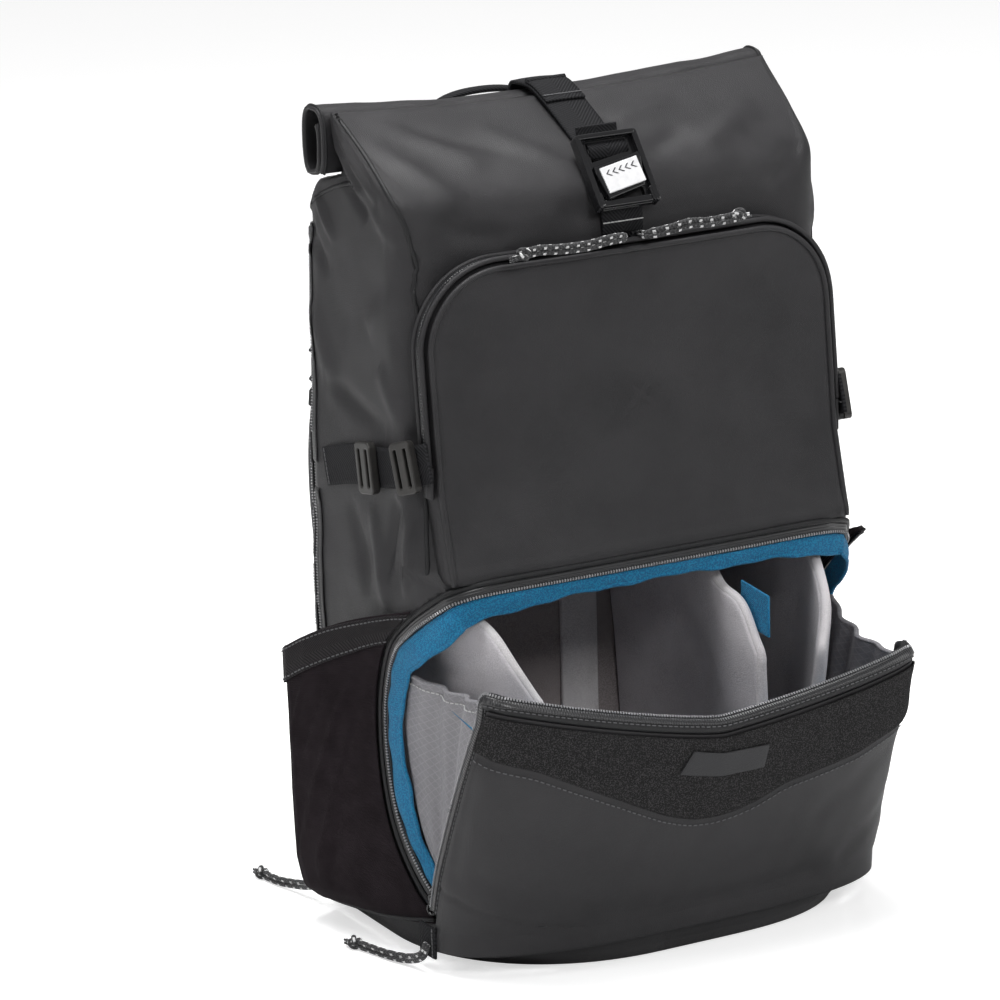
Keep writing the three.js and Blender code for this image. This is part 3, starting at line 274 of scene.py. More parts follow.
# Directions along a line and away from its surface, kept square to each other
def line_frames(line, out=None):
    along = unit(np.gradient(line, axis=0))
    if out is None:
        out = [np.cross(along[0], (0.0, 0.0, 1.0)) if abs(along[0][2]) < 0.9 else np.array((1.0, 0.0, 0.0))]
        for k in range(1, len(line)):
            out.append(out[-1] - along[k] * np.dot(out[-1], along[k]))
            out[-1] = out[-1] / np.linalg.norm(out[-1])
        out = np.array(out)
    out = unit(out - along * np.sum(out * along, axis=1, keepdims=True))
    return along, out, np.cross(along, out)


# Sweeps an oval along a line: high is its half height off the surface, wide its half width
def tube(name, line, high, wide=None, out=None, sides=12, ends=True):
    along, out, side = line_frames(line, out)
    wide = high if wide is None else wide
    high = np.broadcast_to(high, len(line))[None, :, None]
    wide = np.broadcast_to(wide, len(line))[None, :, None]
    angle = np.linspace(0, 2 * np.pi, sides, endpoint=False)[:, None, None]
    grid = line[None] + np.cos(angle) * high * out[None] + np.sin(angle) * wide * side[None]
    piece = grid_piece(name, grid, closed=True)
    if ends:
        close_ends(piece)
    return piece


# Flat or domed ribbon along a line, with thickness towards the surface
def ribbon(name, line, out, width, thickness, dome=0.0, steps=7, edge=0.0):
    along, out, side = line_frames(line, out)
    share = np.linspace(-1, 1, steps)[:, None, None]
    grid = line[None] + share * width / 2 * side[None] + dome * (1 - share ** 2) * out[None]
    grid = grid - edge * np.abs(share) ** 6 * out[None]
    return thicken(grid_piece(name, grid), thickness)


def join(name, pieces):
    mesh = bmesh.new()
    slots = []
    for piece in pieces:
        for material in piece.data.materials:
            if material not in slots:
                slots.append(material)
        kept = [slots.index(material) for material in piece.data.materials] or [0]
        start = len(mesh.faces)
        mesh.from_mesh(piece.data)
        mesh.faces.ensure_lookup_table()
        for face in mesh.faces[start:]:
            face.material_index = kept[min(face.material_index, len(kept) - 1)]
    whole = bpy.data.meshes.new(name)
    mesh.to_mesh(whole)
    mesh.free()
    for material in slots:
        whole.materials.append(material)
    for piece in pieces:
        bpy.data.objects.remove(piece)
    return add_object(name, whole)


# Soft unevenness of cloth: a sum of waves in seeded directions
def unevenness(points, size, height, seed):
    chance = np.random.default_rng(seed)
    total = np.zeros(points.shape[:-1])
    for _ in range(14):
        way = unit(chance.normal(size=3))
        total = total + np.sin(points @ way * 2 * np.pi / (size * chance.uniform(0.6, 1.6)) + chance.uniform(0, 6.3))
    return height * total / 4.0


FOLD_SPREAD = 0.85


# A fold is a ridge or a dent along a straight run between two points on the surface
def fold_height(points, folds, place):
    total = np.zeros(points.shape[:-1])
    for fold in folds:
        a = place(fold["face"], fold["a1"], fold["z1"])
        b = place(fold["face"], fold["a2"], fold["z2"])
        run = b - a
        share = np.clip(((points - a) @ run) / (run @ run), 0, 1)
        gap = np.linalg.norm(points - a - share[..., None] * run, axis=-1)
        ends = np.clip(4 * share * (1 - share), 0, 1) ** 0.5 if fold["fade"] else 1.0
        total = total + fold["depth"] * np.exp(-(gap / (FOLD_SPREAD * fold["width"])) ** 2) * ends
    return total


# Shader groups, each giving a mask or a height that varies over the surface
def add_node(tree, kind, values=None, **settings):
    made = tree.nodes.new(kind)
    for name, value in settings.items():
        setattr(made, name, value)
    for name, value in (values or {}).items():
        if isinstance(value, bpy.types.NodeSocket):
            tree.links.new(value, made.inputs[name])
        else:
            made.inputs[name].default_value = value
    return made


def new_group(name, inputs, outputs=("Factor",)):
    tree = bpy.data.node_groups.new(name, "ShaderNodeTree")
    for label, value in inputs.items():
        made = tree.interface.new_socket(name=label, in_out="INPUT", socket_type="NodeSocketFloat")
        made.default_value = value
    for label in outputs:
        tree.interface.new_socket(name=label, in_out="OUTPUT", socket_type="NodeSocketFloat")
    start = tree.nodes.new("NodeGroupInput")
    end = tree.nodes.new("NodeGroupOutput")
    return tree, start.outputs, end.inputs


def maths(tree, operation, first, second=0.0):
    return add_node(tree, "ShaderNodeMath", {0: first, 1: second}, operation=operation).outputs[0]


def cloth_map(tree):
    place = add_node(tree, "ShaderNodeUVMap", uv_map="cloth").outputs["UV"]
    split = add_node(tree, "ShaderNodeSeparateXYZ", {"Vector": place})
    return split.outputs["X"], split.outputs["Y"]


def group_unevenness():
    tree, start, end = new_group("soft unevenness", {"Scale": 30.0, "Detail": 4.0})
    place = add_node(tree, "ShaderNodeTexCoord").outputs["Object"]
    noise = add_node(tree, "ShaderNodeTexNoise", {
        "Vector": place, "Scale": start["Scale"], "Detail": start["Detail"], "Roughness": 0.6,
    })
    spread = add_node(tree, "ShaderNodeMapRange", {"Value": noise.outputs["Fac"], "From Min": 0.3, "From Max": 0.7})
    tree.links.new(spread.outputs["Result"], end["Factor"])
    return tree


def group_plain_weave():
    tree, start, end = new_group("plain weave", {"Pitch": 0.0008})
    u, v = cloth_map(tree)
    waves = []
    for way in (u, v):
        turns = maths(tree, "DIVIDE", way, start["Pitch"])
        waves.append(maths(tree, "SINE", maths(tree, "MULTIPLY", turns, 2 * math.pi)))
    tree.links.new(maths(tree, "MULTIPLY", waves[0], waves[1]), end["Factor"])
    return tree


# Ribs that lean both ways from the middle of a band
def group_herringbone():
    tree, start, end = new_group("herringbone", {"Pitch": 0.002, "Middle": 0.0125, "Slope": 1.0})
    u, v = cloth_map(tree)
    away = maths(tree, "ABSOLUTE", maths(tree, "SUBTRACT", u, start["Middle"]))
    lean = maths(tree, "ADD", maths(tree, "MULTIPLY", away, start["Slope"]), v)
    turns = maths(tree, "DIVIDE", lean, start["Pitch"])
    wave = maths(tree, "SINE", maths(tree, "MULTIPLY", turns, 2 * math.pi))
    tree.links.new(maths(tree, "MULTIPLY_ADD", wave, 0.5), end["Factor"])
    return tree


# Thin raised lines in squares
def group_ripstop():
    tree, start, end = new_group("ripstop lines", {"Pitch": 0.006, "Line": 0.12})
    u, v = cloth_map(tree)
    lines = []
    for way in (maths(tree, "ADD", u, v), maths(tree, "SUBTRACT", u, v)):
        place = maths(tree, "FRACT", maths(tree, "DIVIDE", way, start["Pitch"]))
        lines.append(maths(tree, "LESS_THAN", place, start["Line"]))
    tree.links.new(maths(tree, "MAXIMUM", lines[0], lines[1]), end["Factor"])
    return tree


def group_flecks():
    tree, start, end = new_group("pale flecks", {"Scale": 900.0, "Amount": 0.35})
    place = add_node(tree, "ShaderNodeTexCoord").outputs["Object"]
    noise = add_node(tree, "ShaderNodeTexNoise", {"Vector": place, "Scale": start["Scale"], "Detail": 2.0})
    floor = maths(tree, "SUBTRACT", 1.0, start["Amount"])
    above = maths(tree, "SUBTRACT", noise.outputs["Fac"], floor)
    clear = add_node(tree, "ShaderNodeMapRange", {"Value": above, "From Min": -0.04, "From Max": 0.06})
    tree.links.new(clear.outputs["Result"], end["Factor"])
    return tree


# Short flecks in rows round a cord, each row half a step along from the last
def group_braid_flecks():
    tree, start, end = new_group("braid flecks", {"Along": 0.0070, "Around": 0.0030, "Share": 0.26})
    u, v = cloth_map(tree)
    turns = maths(tree, "DIVIDE", u, start["Around"])
    half_step = maths(tree, "MULTIPLY", maths(tree, "FLOOR", turns), 0.5)
    place = maths(tree, "FRACT", maths(tree, "ADD", maths(tree, "DIVIDE", v, start["Along"]), half_step))
    inside = maths(tree, "LESS_THAN", maths(tree, "FRACT", turns), 0.5)
    mark = maths(tree, "LESS_THAN", place, start["Share"])
    tree.links.new(maths(tree, "MULTIPLY", inside, mark), end["Factor"])
    return tree


def group_holes():
    tree, start, end = new_group("open mesh", {"Scale": 380.0})
    place = add_node(tree, "ShaderNodeTexCoord").outputs["Object"]
    cells = add_node(tree, "ShaderNodeTexVoronoi", {"Vector": place, "Scale": start["Scale"]})
    clear = add_node(tree, "ShaderNodeMapRange", {
        "Value": cells.outputs["Distance"], "From Min": 0.15, "From Max": 0.5,
    })
    tree.links.new(clear.outputs["Result"], end["Factor"])
    return tree


GROUPS = {
    "unevenness": group_unevenness(),
    "weave": group_plain_weave(),
    "herringbone": group_herringbone(),
    "ripstop": group_ripstop(),
    "flecks": group_flecks(),
    "braid flecks": group_braid_flecks(),
    "holes": group_holes(),
}


def use_group(tree, name, values=None):
    made = tree.nodes.new("ShaderNodeGroup")
    made.node_tree = GROUPS[name]
    for label, value in (values or {}).items():
        made.inputs[label].default_value = value
    return made.outputs["Factor"]


def new_material(name, roughness, **constants):
    material = bpy.data.materials.new(name)
    material.use_nodes = True
    tree = material.node_tree
    shader = tree.nodes["Principled BSDF"]
    shader.inputs["Roughness"].default_value = roughness
    for label, value in constants.items():
        shader.inputs[label.replace("_", " ")].default_value = value
    return material, tree, shader


def mix_colours(tree, factor, low, high):
    mixed = add_node(tree, "ShaderNodeMix", data_type="RGBA")
    tree.links.new(factor, mixed.inputs[0])
    for socket, value in ((mixed.inputs[6], low), (mixed.inputs[7], high)):
        if isinstance(value, bpy.types.NodeSocket):
            tree.links.new(value, socket)
        else:
            socket.default_value = (*value, 1.0)
    return mixed.outputs[2]


def colour_from(tree, shader, colour):
    tree.links.new(colour, shader.inputs["Base Color"])


def roughness_from(tree, shader, factor, low, high):
    spread = add_node(tree, "ShaderNodeMapRange", {"Value": factor, "To Min": low, "To Max": high})
    tree.links.new(spread.outputs["Result"], shader.inputs["Roughness"])


def bumps_from(tree, shader, layers):
    normal = None
    for height, depth in layers:
        bump = add_node(tree, "ShaderNodeBump", {"Height": height, "Strength": 1.0, "Distance": depth})
        if normal is not None:
            tree.links.new(normal, bump.inputs["Normal"])
        normal = bump.outputs["Normal"]
    tree.links.new(normal, shader.inputs["Normal"])


def coated_cloth(name="coated_cloth", low=(0.019, 0.0185, 0.020), high=(0.029, 0.028, 0.030)):
    material, tree, shader = new_material(name, 0.42, Specular_IOR_Level=0.28)
    patches = use_group(tree, "unevenness", {"Scale": 22.0})
    grain = use_group(tree, "unevenness", {"Scale": 1400.0, "Detail": 2.0})
    colour_from(tree, shader, mix_colours(tree, patches, low, high))
    roughness_from(tree, shader, patches, 0.38, 0.50)
    bumps_from(tree, shader, [(use_group(tree, "weave", {"Pitch": 0.0009}), 0.00004), (grain, 0.00008)])
    return material


def stretch_knit():
    material, tree, shader = new_material("stretch_knit", 0.9, Specular_IOR_Level=0.08)
    patches = use_group(tree, "unevenness", {"Scale": 60.0})
    knit = use_group(tree, "herringbone", {"Pitch": 0.0014, "Middle": 0.0, "Slope": 0.35})
    colour_from(tree, shader, mix_colours(tree, patches, (0.012, 0.009, 0.0105), (0.020, 0.0155, 0.018)))
    bumps_from(tree, shader, [(knit, 0.00012), (use_group(tree, "weave", {"Pitch": 0.0011}), 0.00008)])
    return material


def felt(name="heathered_felt", low=(0.018, 0.0175, 0.018), pale=(0.056, 0.055, 0.056)):
    material, tree, shader = new_material(name, 1.0, Specular_IOR_Level=0.08)
    flecks = use_group(tree, "flecks", {"Scale": 1500.0, "Amount": 0.45})
    fuzz = use_group(tree, "unevenness", {"Scale": 1800.0, "Detail": 3.0})
    colour_from(tree, shader, mix_colours(tree, flecks, low, pale))
    bumps_from(tree, shader, [(fuzz, 0.0002)])
    return material


def blue_lining():
    material, tree, shader = new_material("blue_lining", 0.85, Sheen_Weight=0.08, Sheen_Roughness=0.4)
    flecks = use_group(tree, "flecks", {"Scale": 1100.0, "Amount": 0.5})
    fuzz = use_group(tree, "unevenness", {"Scale": 2000.0, "Detail": 2.0})
    colour_from(tree, shader, mix_colours(tree, flecks, (0.002, 0.115, 0.26), (0.004, 0.21, 0.40)))
    bumps_from(tree, shader, [(use_group(tree, "weave", {"Pitch": 0.0012}), 0.00012), (fuzz, 0.0002)])
    return material


def brushed_tricot(name, low, high):
    material, tree, shader = new_material(name, 0.95, Sheen_Weight=0.35, Sheen_Roughness=0.4)
    patches = use_group(tree, "unevenness", {"Scale": 45.0})
    flecks = use_group(tree, "flecks", {"Scale": 1300.0, "Amount": 0.5})
    soft = mix_colours(tree, patches, low, high)
    colour_from(tree, shader, mix_colours(tree, flecks, soft, high))
    bumps_from(tree, shader, [(use_group(tree, "unevenness", {"Scale": 1500.0, "Detail": 3.0}), 0.0002)])
    return material


def ripstop_cloth():
    material, tree, shader = new_material("ripstop_cloth", 0.55, Sheen_Weight=0.1)
    lines = use_group(tree, "ripstop", {"Pitch": 0.005, "Line": 0.16})
    colour_from(tree, shader, mix_colours(tree, lines, (0.20, 0.195, 0.21), (0.245, 0.24, 0.255)))
    bumps_from(tree, shader, [(lines, 0.0001), (use_group(tree, "unevenness", {"Scale": 300.0}), 0.0003)])
    return material


def twill_webbing(name, middle, low=(0.006, 0.006, 0.007), high=(0.020, 0.020, 0.022), pitch=0.0024):
    material, tree, shader = new_material(name, 0.7, Specular_IOR_Level=0.15)
    ribs = use_group(tree, "herringbone", {"Pitch": pitch, "Middle": middle, "Slope": 1.1})
    colour_from(tree, shader, mix_colours(tree, ribs, low, high))
    bumps_from(tree, shader, [(ribs, 0.00025), (use_group(tree, "weave", {"Pitch": 0.0009}), 0.00006)])
    return material


# Shiny tape with fine ribs across it
def zip_tape(name="zip_tape", roughness=0.28, depth=0.0002):
    material, tree, shader = new_material(name, roughness, Coat_Weight=0.3, Coat_Roughness=0.2)
    ribs = use_group(tree, "herringbone", {"Pitch": 0.0016, "Middle": 0.0, "Slope": 0.0})
    colour_from(tree, shader, mix_colours(tree, ribs, (0.008, 0.008, 0.009), (0.018, 0.018, 0.020)))
    bumps_from(tree, shader, [(ribs, depth)])
    return material


def plain_solid(name, colour, roughness, **constants):
    material, tree, shader = new_material(name, roughness, **constants)
    patches = use_group(tree, "unevenness", {"Scale": 160.0, "Detail": 3.0})
    darker = tuple(0.86 * part for part in colour)
    colour_from(tree, shader, mix_colours(tree, patches, darker, colour))
    roughness_from(tree, shader, patches, roughness * 0.85, roughness * 1.15)
    return material


def spacer_mesh():
    material, tree, shader = new_material("spacer_mesh", 0.95, Sheen_Weight=0.2)
    holes = use_group(tree, "holes", {"Scale": 420.0})
    colour_from(tree, shader, mix_colours(tree, holes, (0.006, 0.006, 0.007), (0.040, 0.040, 0.044)))
    bumps_from(tree, shader, [(holes, 0.0004)])
    return material


def braided_cord():
    material, tree, shader = new_material("braided_cord", 0.75, Sheen_Weight=0.2)
    braid = use_group(tree, "herringbone", {"Pitch": 0.0022, "Middle": 0.0047, "Slope": 0.9})
    flecks = use_group(tree, "braid flecks")
    dark = mix_colours(tree, braid, (0.008, 0.008, 0.009), (0.030, 0.030, 0.032))
    colour_from(tree, shader, mix_colours(tree, flecks, dark, (0.62, 0.62, 0.62)))
    bumps_from(tree, shader, [(braid, 0.0003)])
    return material


COATED = coated_cloth()
STRETCH = stretch_knit()
FELT = felt()
BLUE = blue_lining()
TRICOT = brushed_tricot("grey_tricot", (0.47, 0.445, 0.47), (0.62, 0.595, 0.62))
BACK_TRICOT = brushed_tricot("back_wall_tricot", (0.22, 0.195, 0.195), (0.32, 0.285, 0.285))
DIVIDER_EDGE = brushed_tricot("divider_edge_tricot", (0.50, 0.475, 0.49), (0.66, 0.635, 0.65))
BINDING = brushed_tricot("pale_binding", (0.50, 0.48, 0.49), (0.66, 0.64, 0.65))
# Near-black lining cloth; on the rear wall of the insert's right cell it is painted shade
DARK_LINING_AND_SHADE = brushed_tricot("dark_lining_and_painted_shade", (0.010, 0.010, 0.011), (0.022, 0.021, 0.022))
RIPSTOP = ripstop_cloth()
WEBBING = twill_webbing("wide_webbing", WEB_WIDTH / 2 * MM)
SIDE_WEBBING = twill_webbing("side_webbing", SIDE_WEB / 2 * MM)
BAND_WEBBING = twill_webbing("pocket_band_webbing", SIDE_BAND / 2 * MM, (0.009, 0.008, 0.0085), (0.026, 0.023, 0.025))
ZIP_TAPE = zip_tape()
COIL_TAPE = zip_tape("coil_zip_tape", 0.55, 0.0001)
TEETH = plain_solid("zip_teeth", (0.34, 0.34, 0.35), 0.30, Metallic=0.5)
DARK_TEETH = plain_solid("dark_zip_teeth", (0.03, 0.03, 0.032), 0.25, Specular_IOR_Level=0.8)
GLOSS_PLASTIC = plain_solid("gloss_plastic", (0.006, 0.006, 0.007), 0.16, Coat_Weight=0.5, Coat_Roughness=0.08)
GUNMETAL = plain_solid("satin_gunmetal", (0.050, 0.048, 0.046), 0.34, Metallic=0.55)
SILVER = plain_solid("satin_silver", (0.86, 0.86, 0.87), 0.32, Metallic=0.25)
MARK = plain_solid("dark_mark", (0.05, 0.05, 0.055), 0.5)
THREAD = plain_solid("dark_thread", (0.10, 0.10, 0.105), 0.7)
PALE_THREAD = plain_solid("pale_thread", (0.55, 0.55, 0.55), 0.7)
SPACER = spacer_mesh()
BRAID = braided_cord()
HEM = coated_cloth("hem_cloth", (0.009, 0.009, 0.010), (0.015, 0.015, 0.016))
PATCH = coated_cloth("patch_cloth", (0.024, 0.024, 0.026), (0.030, 0.030, 0.032))


def coat(piece, material):
    piece.data.materials.clear()
    piece.data.materials.append(material)
    return piece


# Sets a finished piece in place of its CAD node
def fit(piece, node):
    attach(piece, "root")
    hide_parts(node)
    return piece


# Cord pulls, along the part's own routes: a doubled braid, a knot at its end and a cut tuft
CORD_ROUTES = {
    "cord_pocket_left": [
        (-6, -76.4, 395), (-9, -82, 396.5), (-20, -86, 397.5), (-34, -86, 396), (-50, -87, 396.5), (-66, -88, 398),
        (-80, -89, 396),
    ],
    "cord_pocket_right": [
        (6, -76.4, 395), (9, -82, 396.5), (19, -86, 398.5), (30, -86, 400), (42, -86, 399), (55, -86, 399.5),
        (66, -86, 400),
    ],
    "cord_flap_left": [
        (-143.6, -84, 17), (-144.6, -79, 9), (-147, -68, 4.4), (-152, -54, 3.2), (-157, -38, 3.2), (-161, -24, 3.2),
    ],
    "cord_laptop": [
        (-143.8, 41, 24), (-143.8, 43.5, 17), (-144, 52, 10), (-145.5, 62, 6.5), (-148, 74, 4.2), (-151, 84, 3.2),
        (-153, 94, 3.2), (-154, 106, 3.2),
    ],
}
STRAND = 1.45


def knot(name, centre, along, radius):
    turn = np.linspace(0, 2 * np.pi, 90)
    along = unit(np.asarray(along, float))
    first = unit(np.cross(along, (0.2, 0.1, 1.0)))
    second = np.cross(along, first)
    far = 0.62 + 0.38 * np.cos(3 * turn)
    wave = np.sin(3 * turn)
    line = centre + radius * (
        (far * np.cos(2 * turn))[:, None] * first + (far * np.sin(2 * turn))[:, None] * second
        + (0.75 * wave)[:, None] * along
    )
    return tube(name, line, STRAND * 1.05, sides=10, ends=False)


def make_cord(name):
    route = smooth_line(CORD_ROUTES[name], 90)
    along, out, side = line_frames(route)
    pinch = np.clip(np.linspace(0, 1, 90) / 0.1, 0.55, 1)[:, None]
    stop = 84
    strands = []
    for sign in (-1, 1):
        wander = 0.25 * np.sin(np.linspace(0, 9, 90) + sign)[:, None]
        line = route + side * STRAND * sign * pinch + out * wander
        strands.append(tube(f"{name}_strand", line[:stop], STRAND, sides=12))
    low = np.maximum(route, (-1e9, -1e9, STRAND + 0.2))
    knots = [knot(f"{name}_knot", low[83] + (0, 0, 0.6), along[80], 2.7)]
    chance = np.random.default_rng(5)
    for k in range(9):
        spread = chance.normal(size=3) * 0.9
        end = low[89] + spread + along[88] * 2
        end[2] = max(end[2], 0.8)
        start = low[84] + spread * 0.3
        knots.append(tube(f"{name}_tuft", smooth_line([start, (start + end) / 2 + spread * 0.3, end], 6), 0.7, sides=6))
    cord = join(name + "_braid", [coat(piece, BRAID) for piece in strands + knots])
    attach(cord, "root")
    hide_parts(name)
    return cord


for cord_name in CORD_ROUTES:
    make_cord(cord_name)


# Body surface
def section(z):
    spread = 0.005
    share = z / BODY_HEIGHT

    def value(name):
        return float(np.mean([column(BODY, "height", name, share + k * spread) for k in (-1, 0, 1)]))

    return {
        "half": HALF_WIDTH * value("width"),
        "front": -FRONT_REACH * value("front"),
        "start": -FRONT_REACH * value("start"),
        "back": BACK_REACH * value("back"),
        "corner": value("corner"),
        "rear": value("rear"),
    }


def sag_at(x, z):
    rise = np.clip((z / BODY_HEIGHT - ROOF_START) / (1 - ROOF_START), 0, 1)
    return RIDGE_SAG * rise * (1 - np.clip(np.abs(x) / HALF_WIDTH, 0, 1) ** 2)


def bow_at(share, z):
    rise = np.clip(z / ARCH_HEIGHT - 0.9, 0, 1) * np.clip((BODY_HEIGHT - z) / (BODY_HEIGHT * 0.06), 0, 1)
    return FRONT_BOW * rise * (1 - share ** 2)


def front_at(x, z):
    level = z + float(sag_at(x, z))
    s = section(level)
    flat = s["half"] * (1 - s["corner"])
    beyond = min(max((abs(x) - flat) / (s["half"] - flat), 0), 1)
    if beyond > 0:
        return s["start"] + (s["front"] - s["start"]) * math.sqrt(1 - beyond * beyond)
    return s["front"] - float(bow_at(x / flat, level))


def side_at(y, z, side="left"):
    s = section(z)
    if y >= s["start"]:
        return s["half"]
    power = 1 + (CORNER_POWER[side] - 1) * min(max(s["corner"] * 2 - 0.6, 0), 1)
    rise = min(max((y - s["start"]) / (s["front"] - s["start"]), 0), 1) ** (1 / power)
    wide = s["corner"] * s["half"]
    return s["half"] - wide + wide * math.sqrt(1 - rise * rise) ** power


def on_body(face, a, z):
    if face == "front":
        return np.array((a, front_at(a, z), z))
    if face == "back":
        return np.array((a, section(z)["back"], z))
    sign = -1 if face == "left" else 1
    return np.array((sign * side_at(a, z, face), a, z))


def body_ring(z):
    s = section(z)
    half, front, back = s["half"], s["front"], s["back"]
    start = max(s["start"], front + 1.5)
    rear = max(1.0, min(s["rear"], (back - start) / 2))
    turn = np.linspace(0, np.pi / 2, 9)
    right_rear = np.stack([half - rear + rear * np.cos(turn), back - rear + rear * np.sin(turn)], 1)
    left_rear = right_rear[::-1] * (-1, 1)
    wide = s["corner"] * half
    turn = np.linspace(0, np.pi / 2, 25)
    corners = {}
    for side, power in CORNER_POWER.items():
        p = 1 + (power - 1) * min(max(s["corner"] * 2 - 0.6, 0), 1)
        x = half - wide + wide * np.cos(turn) ** p
        corners[side] = np.stack([x, start + (front - start) * np.sin(turn) ** p], 1)
    flat = np.linspace(-1, 1, 21)
    front_line = np.stack([flat * (half - wide), front - bow_at(flat, z)], 1)
    runs = [
        (np.vstack([right_rear, left_rear]), 44),
        (np.vstack([left_rear[-1:], corners["left"] * (-1, 1)]), 60),
        (front_line, 52),
        (np.vstack([corners["right"][::-1], right_rear[:1]]), 60),
    ]
    ring = np.vstack([resample(run, count + 1)[:-1] for run, count in runs])
    return np.column_stack([ring, z - sag_at(ring[:, 0], z)])


# Folds of the body's cloth: a is x on the front and y on the sides
FOLD_SCALE = 1.6
BODY_FOLDS = rows(("face", "a1", "z1", "a2", "z2", "width", "depth", "fade"), [
    ("front", -122, 462, -70, 436, 6, 1.8, True),
    ("front", -128, 452, -96, 420, 7, 1.6, True),
    ("front", -100, 455, -52, 440, 5, -1.4, True),
    ("front", -60, 452, -20, 428, 7, 1.2, True),
    ("front", 20, 448, 66, 452, 6, 2.0, True),
    ("front", 26, 432, 60, 440, 7, -1.4, True),
    ("front", 60, 430, 110, 447, 8, 1.4, True),
    ("front", 96, 408, 124, 428, 6, -1.6, True),
    ("front", -112, 412, -70, 400, 7, -1.6, True),
    ("front", -40, 412, 6, 404, 6, -1.0, True),
    ("front", -126, 232, -118, 214, 3.5, 1.8, True),
    ("front", -100, 222, -40, 226, 5, -1.2, True),
    ("front", 0, 219, 80, 224, 5, -1.2, True),
    ("left", 12, 462, -36, 424, 5, 2.6, True),
    ("left", 24, 446, -22, 412, 5, -2.4, True),
    ("left", 10, 438, -52, 402, 6, 2.0, True),
    ("left", -14, 424, -58, 392, 5, -2.4, True),
    ("left", 40, 414, 20, 392, 4, 1.8, True),
    ("left", 56, 402, 30, 372, 5, -1.6, True),
    ("left", -56, 380, -20, 350, 9, 1.8, True),
    ("left", 50, 352, 20, 300, 9, 1.6, True),
    ("left", 34, 312, -36, 296, 7, -1.8, True),
    ("left", -30, 330, -58, 300, 8, 1.6, True),
    ("left", -50, 262, -36, 214, 5, -2.6, True),
    ("left", -62, 254, -60, 210, 4, 2.0, True),
    ("left", -20, 252, -40, 196, 7, 1.8, True),
    ("left", 6, 250, -20, 200, 8, -1.6, True),
    ("right", 12, 460, -34, 424, 5, 2.4, True),
    ("right", -6, 442, -46, 406, 5, -2.2, True),
    ("right", -30, 420, -50, 380, 6, 1.8, True),
    ("right", 40, 350, 0, 300, 9, 1.6, True),
    ("right", -50, 260, -34, 212, 5, -2.2, True),
    ("back", -90, 120, 90, 130, 9, -1.0, True),
])


def body_surface():
    levels = np.concatenate([[0, 2, 4.5, 8], np.linspace(12, 400, 122), np.linspace(402.5, 465.1, 30)])
    grid = np.stack([body_ring(z) for z in levels], axis=1)
    calm = np.clip((levels - 6) / 30, 0, 1) * np.clip((464 - levels) / 24, 0.08, 1)
    push = FOLD_SCALE * fold_height(grid, BODY_FOLDS, on_body) + unevenness(grid, 90, 0.7, 3) + unevenness(grid, 34, 0.22, 8)
    push = push * calm[None, :] * near_zip(grid)
    return grid + grid_normals(grid, closed=True) * push[..., None]


def zip_side(count, outward=0.0):
    points = [(0, -FRONT_REACH * f, ARCH_HEIGHT * u) for f, u in (
        (0.575, 0.112), (0.440, 0.210), (0.310, 0.345), (0.245, 0.500), (0.245, 0.660),
        (0.330, 0.800), (0.470, 0.880), (0.600, 0.940), (0.690, 0.985),
    )]
    flat = smooth_line(points, count)
    along = unit(np.gradient(flat, axis=0))
    return flat + np.stack([0 * along[:, 0], along[:, 2], -along[:, 1]], 1) * outward


def cutter(name, outline, low_x, high_x):
    mesh = bmesh.new()
    bottom = [mesh.verts.new((low_x * MM, y * MM, z * MM)) for y, z in outline]
    top = [mesh.verts.new((high_x * MM, y * MM, z * MM)) for y, z in outline]
    mesh.faces.new(bottom)
    mesh.faces.new(top[::-1])
    for k in range(len(outline)):
        n = (k + 1) % len(outline)
        mesh.faces.new((bottom[n], bottom[k], top[k], top[n]))
    bmesh.ops.recalc_face_normals(mesh, faces=mesh.faces)
    for face in mesh.faces:
        face.material_index = 1
    made = bpy.data.meshes.new(name)
    mesh.to_mesh(made)
    mesh.free()
    for _ in range(2):
        made.materials.append(None)
    return add_object(name, made)


def cut_away(piece, tools):
    for tool in tools:
        cut = piece.modifiers.new("cut", "BOOLEAN")
        cut.operation = "DIFFERENCE"
        cut.solver = "MANIFOLD"
        cut.object = tool
        bake(piece)
        bpy.data.objects.remove(tool)
    mesh = bmesh.new()
    mesh.from_mesh(piece.data)
    bmesh.ops.delete(mesh, geom=[face for face in mesh.faces if face.material_index == 1], context="FACES")
    mesh.to_mesh(piece.data)
    mesh.free()


def opening_outline():
    edge = zip_side(40, ZIP_WIDTH / 2 + CLEAR * 4)
    far = -FRONT_REACH * 2
    top = ARCH_HEIGHT + ZIP_WIDTH / 2 + CLEAR * 4
    middle = [(p[1], p[2]) for p in edge]
    return [(far, TRAY_HEIGHT), (edge[0][1], TRAY_HEIGHT), *middle, (edge[-1][1] - 8, top), (far, top)]


def sleeve_line(z):
    share = np.clip((z - ARCH_HEIGHT) / (BODY_HEIGHT * 0.4), 0, 1)
    return SLEEVE_FRONT + 2 + 12 * share


def slot_outline():
    share = np.linspace(0, 1, 24)
    z = TRAY_HEIGHT + 4 + (SLOT_HEIGHT - TRAY_HEIGHT - 4) * share
    half = SLOT_WIDTH / 2 * np.sin(np.pi * (0.06 + 0.88 * share)) ** 0.5
    middle = sleeve_line(z) + SLOT_WIDTH / 2
    return [*zip(middle - half, z), *zip((middle + half)[::-1], z[::-1])]


def add_hubs(piece):
    mesh = bmesh.new()
    mesh.from_mesh(piece.data)
    edges = [edge for edge in mesh.edges if edge.is_boundary]
    bmesh.ops.holes_fill(mesh, edges=edges, sides=0)
    bmesh.ops.triangulate(mesh, faces=[face for face in mesh.faces if len(face.verts) > 4])
    mesh.to_mesh(piece.data)
    mesh.free()


